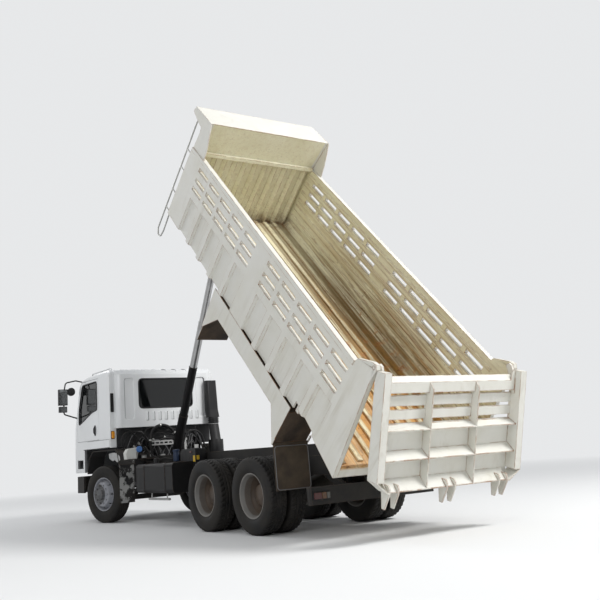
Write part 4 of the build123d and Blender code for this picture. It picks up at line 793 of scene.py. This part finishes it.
class TRUCK_OT_cab_trim(bpy.types.Operator):
    """Window rubbers, louvres, vents, lamps, handles, wipers, mirror glass and grille backs"""
    bl_idname = "truck.cab_trim"
    bl_label = "Cab trim"

    def execute(self, context):
        settings = context.scene.truck_trim

        def seal(points, radius=settings.rubber):
            return tube(points, radius, closed=True, straight=True)

        for side, name in SIDES.items():
            face = side * CAB_SIDE
            window = on_plane(1, face + side * 0.001, rounded(DOOR_WINDOW, 0.06))
            piece(f"door_rubber_{name}", [seal(window)], "plastic", f"door_{name}")
            pocket = side_plate(face + 0.004 * (side > 0), 0.004, 0.218, 1.63, 0.292, 1.835, 0.03)
            arch = (0.002, 1.655), (0.026, 1.69), (0.03, 1.735), (0.026, 1.78), (0.002, 1.815)
            grip = tube([at(0.255, face + side * out, z) for out, z in arch], 0.012)
            piece(f"door_handle_{name}", [pocket, grip], "plastic", f"door_{name}", bevel=0.0015)
        rear = on_plane(0, CAB_REAR - 0.002, rectangle(-0.595, 2.0845, 0.595, 2.6495, 0.085))
        screen = rounded([at(1.339, -1.01, 1.925), at(1.339, 1.01, 1.925), at(1.113, 1.01, 2.62),
                          at(1.113, -1.01, 2.62)], 0.05)
        piece("window_rubbers", [seal(rear, settings.rubber * 1.1), seal(screen, settings.rubber * 1.2)],
              "plastic", "cab")
        places = 0.495 - 0.14 * np.arange(settings.louvres)
        piece("cab_louvres", [louvre(y, 1.925, 0.075, 0.185, 0.022) for y in places], "cab", "cab")
        # Black strips to the right of the louvres: each slit's opening, widened with painted shadow from the
        # louvre's proud edge
        piece("louvre_slits_and_shadows", [plate(CAB_REAR - 0.0015, 0.003, y - 0.094, 1.84, y - 0.073, 2.008, 0.008)
                               for y in places], "plastic", "cab")
        frame_row = (CAB_PILLAR - 0.008, 0.008, 1.083, 2.035, 1.15, 2.395, 0.012)
        fins = [(CAB_PILLAR - 0.014, 0.014, 1.09, z, 1.143, z + 0.008, 0.0)
                for z in np.linspace(2.055, 2.37, settings.fins)]
        plates("cab_vents", "plastic", "cab", 0.001, frame_row, *fins)
        plates("side_lamp_holders", "plastic", "cab", 0.004,
               (CAB_PILLAR - 0.012, 0.012, 1.085, 1.53, 1.155, 1.68, 0.0))
        plates("side_lamp_lenses", "amber", "cab", 0.006,
               (CAB_PILLAR - 0.042, 0.03, 1.09, 1.54, 1.15, 1.67, 0.02))
        plates("mirror_glass", "mirror", "cab", 0.0, (1.224, 0.003, 1.377, 2.33, 1.547, 2.63, 0.03),
               (1.229, 0.003, 1.387, 2.18, 1.537, 2.28, 0.02))
        arms, blades = [], []
        for y in (0.72, 0.02, -0.68):
            foot, tip = np.array(at(1.372, y, 1.885)), np.array(at(1.305, y - 0.34, 2.13))
            arms.append(tube([foot - 0.02 * Z, foot, (foot + tip) / 2 + 0.012 * X, tip], 0.008))
            blades.append(tube([tip + (-0.045, 0.33, 0.14), tip + (0.001, 0, 0), tip + (0.045, -0.3, -0.14)],
                               0.009, sides=6))
        piece("wiper_arms", arms, "plastic", "cab")
        piece("wiper_blades", blades, "hose", "cab")
        slots = 1.27 + 0.086 * (np.arange(5) - 2)
        piece("grille_backs", [plate(1.3625, 0.004, -0.63, z - 0.02, 0.63, z + 0.02, 0.012) for z in slots],
              "plastic", "cab")
        plates("headlamp_lenses", "clear", "chassis", 0.002, (1.4081, 0.006, 0.72, 0.645, 0.98, 0.755, 0.03))
        return {"FINISHED"}


# Hoses behind the cab, as (radius, points from the front axle); all start and end on what carries them
HOSES = (
    (0.028, ((-0.66, 0.36, 1.16), (-0.68, 0.41, 1.42), (-0.695, 0.36, 1.64), (-0.70, 0.19, 1.735),
             (-0.70, -0.01, 1.69), (-0.70, -0.15, 1.52), (-0.68, -0.2, 1.3), (-0.62, -0.22, 1.16))),
    (0.016, ((-0.6, 0.95, 1.33), (-0.62, 0.99, 1.5), (-0.6, 0.9, 1.62), (-0.62, 0.7, 1.64),
             (-0.63, 0.5, 1.55), (-0.62, 0.38, 1.3), (-0.6, 0.34, 1.15))),
    (0.012, ((-0.56, 1.02, 1.33), (-0.6, 1.07, 1.56), (-0.62, 1.0, 1.7), (-0.62, 0.82, 1.66),
             (-0.63, 0.62, 1.47), (-0.62, 0.4, 1.2), (-0.6, 0.36, 1.1))),
    (0.014, ((-0.6, 0.38, 1.1), (-0.63, 0.47, 1.4), (-0.65, 0.5, 1.62), (-0.62, 0.36, 1.7), (-0.6, 0.1, 1.62),
             (-0.58, -0.15, 1.66), (-0.6, -0.42, 1.56), (-0.6, -0.5, 1.3), (-0.6, -0.4, 1.02))),
    (0.010, ((-0.58, 0.3, 1.15), (-0.6, 0.34, 1.5), (-0.62, 0.2, 1.6), (-0.6, -0.05, 1.56),
             (-0.6, -0.3, 1.62), (-0.62, -0.55, 1.6), (-0.62, -0.66, 1.42), (-0.6, -0.5, 1.12),
             (-0.6, -0.41, 1.0))),
    (0.018, ((-0.64, -0.3, 1.12), (-0.66, -0.34, 1.4), (-0.66, -0.46, 1.58), (-0.68, -0.62, 1.6),
             (-0.7, -0.74, 1.5), (-0.72, -0.78, 1.3), (-0.76, -0.8, 1.25))),
    (0.009, ((-0.6, 0.62, 1.31), (-0.66, 0.7, 1.44), (-0.69, 0.62, 1.52), (-0.68, 0.44, 1.42),
             (-0.64, 0.3, 1.24), (-0.62, 0.24, 1.15))),
    (0.008, ((-0.6, 0.8, 1.33), (-0.68, 0.84, 1.45), (-0.7, 0.72, 1.4), (-0.7, 0.56, 1.32),
             (-0.68, 0.46, 1.16), (-0.68, 0.44, 1.1))),
    (0.022, ((-0.6, 0.2, 1.14), (-0.62, 0.22, 1.38), (-0.64, 0.1, 1.48), (-0.64, -0.1, 1.46),
             (-0.62, -0.2, 1.32), (-0.6, -0.2, 1.14))),
    (0.011, ((-1.75, 0.5, 1.08), (-1.6, 0.56, 1.11), (-1.4, 0.58, 1.09), (-1.24, 0.55, 1.12),
             (-1.0, 0.56, 1.2), (-0.8, 0.56, 1.32), (-0.68, 0.48, 1.3), (-0.6, 0.4, 1.06))),
    (0.02, ((-1.62, 0.3, 1.06), (-1.4, 0.27, 1.04), (-1.2, 0.22, 1.0), (-1.04, 0.16, 0.97),
            (-0.9, 0.1, 0.94))),
)
# Clips round the hoses, as (place, axis), and screwed unions, as (y, z, lean)
CLIPS = (((-0.683, 0.405, 1.46), (0.05, -0.1, 1)), ((-0.70, 0.19, 1.735), (0, 1, 0.05)),
         ((-0.7, -0.11, 1.585), (0, 1, 1)), ((-0.67, -0.205, 1.28), (0.2, -0.1, 1)))
UNIONS = ((0.62, 1.42, 0.3), (0.5, 1.33, -0.2), (0.3, 1.47, 0.6), (0.05, 1.5, 0.2), (-0.12, 1.44, -0.5),
          (-0.42, 1.46, 0.4), (-0.55, 1.38, 0.0), (0.72, 1.36, 0.5))
VALVES = ((0.7, 1.2), (0.52, 1.14), (0.12, 1.12), (-0.48, 1.16), (-0.64, 1.26))  # (y, z)
CABLES, CABLE_POINTS = 26, 7


class TRUCK_OT_pipework(bpy.types.Operator):
    """Hoses and cables between the cab, the engine and the frame"""
    bl_idname = "truck.pipework"
    bl_label = "Pipework"

    def execute(self, context):
        hoses = [tube([at(*point) for point in points], radius, sides=12, per_span=10)
                 for radius, points in HOSES]
        piece("chassis_hoses", hoses, "hose")
        ring = [(0.03, -0.012), (0.0345, -0.012), (0.0345, 0.012), (0.03, 0.012)]
        piece("hose_clips", [turned(ring, at(*place), axis, 16) for place, axis in CLIPS], "steel")
        shield = [block((-0.56, -0.78, 1.01), (-0.545, 0.78, 1.5))]
        shield += [block((-0.57, y - 0.02, 1.04), (-0.559, y + 0.02, 1.47))
                   for y in np.linspace(-0.7, 0.7, 8)]
        piece("rear_shield", shield, "plastic", bevel=0.003)
        union = [(0.001, -0.03), (0.018, -0.03), (0.018, -0.008), (0.026, -0.008), (0.026, 0.012),
                 (0.016, 0.014), (0.016, 0.03), (0.001, 0.03)]
        piece("pipe_unions", [turned(union, at(-0.6, y, z), (0.1, lean, 1), 6) for y, z, lean in UNIONS],
              "steel", bevel=0.001)
        valves = [block((-0.64, y - 0.05, z), (-0.575, y + 0.05, z + 0.07), 0.012) for y, z in VALVES]
        piece("valve_blocks", valves, "cast", bevel=0.005)
        chance = np.random.default_rng(11)
        arch = np.sin(np.linspace(0.0, np.pi, CABLE_POINTS)) ** 0.7
        runs = []
        for left in np.linspace(0.98, -0.62, CABLES):
            right = np.clip(left - chance.uniform(0.35, 0.8), -0.8, 0.7)
            x = FRONT_X - 0.585 - chance.uniform(0, 0.06)
            high = chance.uniform(1.42, 1.6)
            y = np.linspace(left, right, CABLE_POINTS)
            sag = chance.normal(0, 0.022, CABLE_POINTS)
            z = 1.12 + 0.12 * (np.abs(y) > 0.5) + (high - 1.16 + sag) * arch
            runs.append(tube(np.column_stack((x + chance.normal(0, 0.012, CABLE_POINTS), y, z)),
                             chance.uniform(0.005, 0.009), sides=7, per_span=6))
        piece("chassis_cables", runs[::2], "plastic")
        piece("chassis_wires", runs[1::2], "grey")
        return {"FINISHED"}


# Outlines of the coolant bottle as (y, z), and of a mudguard's stay and the valve box as (x, z)
BOTTLE = ((0.915, 1.131), (1.135, 1.131), (1.147, 1.25), (1.1, 1.318), (0.95, 1.336), (0.845, 1.345),
          (0.835, 1.27), (0.9, 1.24))
STAY = ((-0.24, 1.265), (-0.45, 1.28), (-0.6, 1.262), (-0.73, 1.2), (-0.745, 1.13), (-0.62, 1.095),
        (-0.52, 1.14), (-0.42, 1.12), (-0.33, 1.15), (-0.26, 1.17))
VALVE_BOX = ((-2.96, 0.81), (-2.42, 0.81), (-2.42, 1.2), (-2.5, 1.235), (-2.96, 1.235))
# Profiles of turned things, as (radius, along)
CAP = ((0.001, -0.012), (0.05, -0.012), (0.056, -0.006), (0.056, 0.024), (0.05, 0.03), (0.001, 0.031))
CANISTER = ((0.001, 0), (0.05, 0), (0.055, 0.006), (0.055, 0.15), (0.05, 0.165), (0.062, 0.168), (0.062, 0.2),
            (0.03, 0.208), (0.001, 0.208))
CHAMBER = ((0.001, 0), (0.06, 0.004), (0.085, 0.03), (0.088, 0.065), (0.095, 0.07), (0.095, 0.08),
           (0.088, 0.085), (0.085, 0.125), (0.055, 0.16), (0.001, 0.162))


class TRUCK_OT_fittings(bpy.types.Operator):
    """Small things on the chassis: bottle, filters, brackets, brake chambers, lamps, flap borders"""
    bl_idname = "truck.fittings"
    bl_label = "Fittings"

    def execute(self, context):
        piece("coolant_bottle", [prism(rounded(BOTTLE, 0.014), 0.13, Y, Z, at(-1.15, 0, 0))], "white",
              bevel=0.012)
        piece("coolant_cap", [turned(CAP, at(-1.16, 0.885, 1.302), (-1, 0, 0.15), 28)], "blue")
        bend = ((-1.0, 1.131), (-0.995, 1.25), (-1.02, 1.342), (-1.1, 1.35), (-1.157, 1.335),
                (-1.157, 1.2), (-1.157, 1.131))
        strap = tube([at(x, 0.93, z) for x, z in bend], 0.005, sides=6)
        gusset = prism([(0.494, 1.03), (0.494, 1.121), (0.9, 1.121)], 0.006, Y, Z, at(-1.09, 0, 0))
        piece("bottle_bracket", [block((-1.16, 0.486, 1.121), (-1.01, 1.14, 1.13)),
                                 block((-1.16, 0.486, 1.02), (-1.01, 0.494, 1.13)), gusset, strap], "chassis",
              bevel=0.002)
        piece("mudguard_stays", both(lambda side: [prism(rounded(STAY, 0.012), 0.014, X, Z,
                                                         (FRONT_X, side * 1.092 + 0.007, 0))]), "cast",
              bevel=0.004)
        strips = [(-0.4, low, 0.4, low + 0.028) for low in (1.36, 1.422)]
        strips += [(y - 0.014, 1.3852, y + 0.014, 1.4248) for y in np.linspace(-0.386, 0.386, 9)]
        strips += [(side * 0.36, 1.002, side * 0.41, 1.37) for side in SIDES]
        piece("crossing_bracket", [plate(-0.652, 0.008, *strip) for strip in strips], "cast", bevel=0.002)
        piece("filter_can", [turned(CANISTER, at(-2.0, 0.55, 1.04), Z, 24)], "navy")
        piece("filter_bracket", [block((-2.06, 0.486, 1.0), (-1.94, 0.494, 1.16)),
                                 block((-2.05, 0.486, 1.02), (-1.95, 0.6, 1.039))], "chassis", bevel=0.002)
        box = prism(rounded(VALVE_BOX, 0.02), 0.2, X, Z, (FRONT_X, 0.69, 0))
        ribs = [side_plate(0.693, 0.206, x, 0.85, x + 0.02, 1.2) for x in (-2.86, -2.74, -2.62, -2.5)]
        piece("valve_box", [box, *ribs], "plastic", bevel=0.004)
        piece("yellow_plates", [plate(-2.964, 0.004, 0.62, 1.05, 0.67, 1.12),
                                side_plate(0.694, 0.004, -2.945, 1.02, -2.875, 1.12)], "yellow")
        piece("red_marker", [side_plate(0.702, 0.012, -2.84, 1.165, -2.77, 1.195, 0.006)], "red", bevel=0.002)
        brakes = [(axle, side) for axle in REAR_AXLES for side in SIDES]
        piece("brake_chambers", [turned(CHAMBER, at(axle + 0.2, side * 0.36, 0.6), (1, 0, 0.25), 24)
                                 for axle, side in brakes], "chassis")
        piece("brake_rods", [tube([at(axle + 0.21, side * 0.36, 0.6), at(axle + 0.05, side * 0.4, 0.565)],
                                  0.014, straight=True) for axle, side in brakes], "steel")
        rail = tube([at(-1.76, 1.0, 0.44), at(-2.55, 1.0, 0.44)], 0.02, straight=True)
        drops = [tube([at(x, 1.0, 0.44), at(x, 0.99, 0.545)], 0.012, straight=True) for x in (-1.86, -2.45)]
        piece("tank_step", [rail, *drops], "cast")
        border = rectangle(0.63, 0.594, 1.19, 1.16, 0.05)
        for side, name in SIDES.items():
            edge = tube(on_plane(0, -6.0615, border * (side, 1)), 0.006, sides=6, closed=True, straight=True)
            piece(f"flap_border_{name}", [edge], "grey", f"mudflap_{name}")
        plates("tail_lamp_bodies", "plastic", "chassis", 0.004, (-6.66, 0.02, 0.78, 0.46, 1.06, 0.56, 0.0))
        for finish, low, high in (("red", 0.93, 1.05), ("dull_amber", 0.85, 0.92),
                                  ("dull_clear", 0.79, 0.84)):
            plates(f"tail_lens_{finish}", finish, "chassis", 0.003,
                   (-6.672, 0.012, low, 0.47, high, 0.55, 0.008))
        return {"FINISHED"}


def cushion(centre, axes, half, seams=(), power=0.42, crown=0.16, steps=48):
    """Stuffed pad: a superellipsoid, where each half size is scaled by the sine or cosine raised to a power
    under one, which gives crowned faces and full corners. Between its corners the outline is drawn in, by the
    crown share of the product of its two distances from the corners. Each sewn channel at its share across
    dips the top by a bell curve."""
    u = np.linspace(0, 2 * np.pi, 2 * steps, endpoint=False)[None, :]
    v = np.linspace(-np.pi / 2, np.pi / 2, steps + 2)[1:-1, None]

    def signed(value):
        return np.sign(value) * np.abs(value) ** power

    level = signed(np.cos(v))
    p, q, r = level * signed(np.cos(u)), level * signed(np.sin(u)), signed(np.sin(v)) + 0 * u
    p_waist, q_waist = (1 - crown * 0.22 * (1 - other * other) * (1 - r * r) for other in (q, p))
    dip = sum(np.exp(-((q - place) / 0.035) ** 2) for place in seams) * 0.2 * (1 - p ** 4)
    top = r * (1 - crown * (p * p + q * q) / 2) * (1 - dip * (r > 0))
    sizes = np.stack((p * p_waist * half[0], q * q_waist * half[1], top * half[2]), -1)
    return grid(np.asarray(centre) + sizes @ np.asarray(axes, float), round_v=True, ends=True)


class SeatSettings(bpy.types.PropertyGroup):
    """Sizes of the two seats."""
    half_width: FloatProperty(name="Half width", description="Half the width of a seat", default=0.235,
                              unit="LENGTH")
    place: FloatProperty(name="Place", description="Distance of a seat's middle from the cab's middle",
                         default=0.56, unit="LENGTH")
    folds: IntProperty(name="Bellows folds", description="Folds of the rubber skirt under a seat", default=5,
                       min=2)


class TRUCK_OT_seats(bpy.types.Operator):
    """Two sprung seats: padded base, backrest and headrest on a folded rubber skirt"""
    bl_idname = "truck.seats"
    bl_label = "Seats"

    def execute(self, context):
        settings = context.scene.truck_seats
        wide = settings.half_width
        lean, rise = math.radians(11.3), math.radians(6)
        back_axes = (math.sin(lean), 0, -math.cos(lean)), Y, (math.cos(lean), 0, math.sin(lean))
        base_axes = (math.cos(rise), 0, math.sin(rise)), Y, (-math.sin(rise), 0, math.cos(rise))
        seams = (-0.55, 0.55)
        pads = (("base", (-0.04, 1.815), base_axes, (0.275, wide, 0.063), seams),
                ("back", (-0.325, 2.105), back_axes, (0.265, wide, 0.052), seams),
                ("head", (-0.372, 2.42), back_axes, (0.058, wide * 0.6, 0.042), ()))
        outline = rounded(rectangle(-0.26, -0.17, 0.14, 0.17), 0.05)
        levels = np.linspace(0, 1, settings.folds * 6 + 1)[:, None]
        swell = 1 - 0.06 * np.abs(np.sin(levels * settings.folds * np.pi))
        crossbar = [(0.001, -0.2), (0.03, -0.2), (0.03, 0.2), (0.001, 0.2)]
        for side, name in SIDES.items():
            y = side * settings.place
            for part, (x, z), axes, half, channels in pads:
                pad = piece(f"pad_{part}_{name}", [cushion(at(x, y, z), axes, half, channels)], "fabric",
                            "cab", sharp=60)
                smooth = pad.modifiers.new("Smooth", "SUBSURF")
                smooth.levels = smooth.render_levels = 1
            rings = np.stack((FRONT_X - 0.06 + (outline[:, 0] + 0.06) * swell, y + outline[:, 1] * swell,
                              1.565 + 0.165 * levels + 0 * outline[:, 0]), -1)
            posts = [tube([at(-0.362, y + off, 2.33), at(-0.368, y + off, 2.4)], 0.008, straight=True)
                     for off in (-0.07, 0.07)]
            shapes = [grid(rings, round_v=True, ends=True),
                      block((-0.3, y - 0.19, 1.54), (0.16, y + 0.19, 1.566), 0.03),
                      block((-0.3, y - 0.2, 1.728), (0.17, y + 0.2, 1.752), 0.03),
                      turned(crossbar, at(-0.29, y, 1.79), Y, 20), *posts]
            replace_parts(piece(f"pad_frame_{name}", shapes, "plastic", "cab", bevel=0.003), "cab_seats")
        return {"FINISHED"}


# Camera solved from the photograph: place from the front axle, angles in degrees, focal length in pixels
CAMERA_PLACE = (-15.556, 7.709, 1.121)
YAW, PITCH, ROLL = (math.radians(angle) for angle in (-32.5099, 16.5813, -4.1471))
FOCAL, PHOTO_SIDE, SENSOR, CAMERA_SHIFT = 813.51, 600, 36, (0.12, -0.15)
# Lamps as (name, place, size, power), all aimed at one point
LAMPS = (("Key", (-14, -7, 15), 6, 3300), ("Fill", (-12, 15, 9), 10, 700), ("Rim", (12, 4, 12), 8, 600))
LAMP_AIM = Vector((0, 0, 2))
FLOOR_HALF, FLOOR_FADE = 150, (9.0, 24.0)
AMBIENT = (0.42, 0.435, 0.46)


def link_object(name, data):
    obj = bpy.data.objects.new(name, data)
    bpy.context.scene.collection.objects.link(obj)
    return obj


class TRUCK_OT_stage(bpy.types.Operator):
    """Pale floor, soft lights and the camera at the photograph's angle"""
    bl_idname = "truck.stage"
    bl_label = "Stage"

    def execute(self, context):
        scene = context.scene
        mesh = bpy.data.meshes.new("stage_floor")
        corners = ((-1, -1), (1, -1), (1, 1), (-1, 1))
        mesh.from_pydata([(FLOOR_HALF * x, FLOOR_HALF * y, 0) for x, y in corners], [], [(0, 1, 2, 3)])
        floor = link_object("stage_floor", mesh)
        n, place = new_material("floor", "Floor")
        n.finish((0.78, 0.78, 0.77), 0.9)
        far = n.vector_math("DISTANCE", place, at(-3, 0, 0))
        fade = n.times(n.ramp(far, *FLOOR_FADE), n.add("LightPath").outputs["Is Camera Ray"])
        plain = n.add("Emission", {"Color": rgba(BACKDROP), "Strength": 1.0}).outputs[0]
        blend = n.add("MixShader", {0: fade, 1: n.tree.nodes["Principled BSDF"].outputs[0],
                                    2: plain}).outputs[0]
        n.feed(n.tree.nodes["Material Output"].inputs["Surface"], blend)
        mesh.materials.append(MATERIALS["floor"])
        scene.world = bpy.data.worlds.new("Studio")
        scene.world.use_nodes = True
        n = Nodes(scene.world.node_tree)
        path = n.add("LightPath").outputs
        seen = n.largest(n.largest(path["Is Camera Ray"], path["Is Glossy Ray"]), path["Is Transmission Ray"])
        n.feed(n.tree.nodes["Background"].inputs["Color"], n.mix(seen, AMBIENT, BACKDROP))
        for name, place, size, power in LAMPS:
            light = bpy.data.lights.new(name, "AREA")
            light.size = size
            light.energy = power
            lamp = link_object(name, light)
            lamp.location = place
            lamp.rotation_mode = "QUATERNION"
            lamp.rotation_quaternion = (LAMP_AIM - Vector(place)).to_track_quat("-Z", "Y")
        ahead = Vector((math.cos(YAW) * math.cos(PITCH), math.sin(YAW) * math.cos(PITCH), math.sin(PITCH)))
        right = Vector((math.sin(YAW), -math.cos(YAW), 0))
        up = right.cross(ahead)
        across = right * math.cos(ROLL) + up * math.sin(ROLL)
        upright = up * math.cos(ROLL) - right * math.sin(ROLL)
        data = bpy.data.cameras.new("Camera")
        data.sensor_width = SENSOR
        data.lens = FOCAL / PHOTO_SIDE * SENSOR
        data.shift_x, data.shift_y = CAMERA_SHIFT
        data.clip_end = 500
        scene.camera = link_object("Camera", data)
        turn = Matrix((across, upright, -ahead)).transposed().to_4x4()
        scene.camera.matrix_world = Matrix.Translation(at(*CAMERA_PLACE)) @ turn
        scene.view_settings.view_transform = "Standard"
        return {"FINISHED"}


class TRUCK_PT_panel(bpy.types.Panel):
    """Lists the settings and the steps"""
    bl_label = "Dump truck"
    bl_idname = "TRUCK_PT_panel"
    bl_space_type = "VIEW_3D"
    bl_region_type = "UI"
    bl_category = "Dump truck"

    def draw(self, context):
        for name in SETTINGS:
            group = getattr(context.scene, name)
            for key in group.bl_rna.properties.keys():
                if key not in ("rna_type", "name"):
                    self.layout.prop(group, key)
        for step in STEPS:
            self.layout.operator(step.bl_idname)


SETTINGS = {"truck_paint": PaintSettings, "truck_tyres": TyreSettings, "truck_trim": TrimSettings,
            "truck_seats": SeatSettings}
STEPS = (TRUCK_OT_finishes, TRUCK_OT_tyres, TRUCK_OT_cab_trim, TRUCK_OT_pipework, TRUCK_OT_fittings,
         TRUCK_OT_seats, TRUCK_OT_stage)


def register():
    for item in (*SETTINGS.values(), *STEPS, TRUCK_PT_panel):
        bpy.utils.register_class(item)
    for name, group in SETTINGS.items():
        setattr(bpy.types.Scene, name, PointerProperty(type=group))


def unregister():
    for name in SETTINGS:
        delattr(bpy.types.Scene, name)
    for item in reversed((*SETTINGS.values(), *STEPS, TRUCK_PT_panel)):
        bpy.utils.unregister_class(item)


def main():
    register()
    for step in STEPS:
        family, name = step.bl_idname.split(".")
        getattr(getattr(bpy.ops, family), name)()


if __name__ == "__main__":
    main()
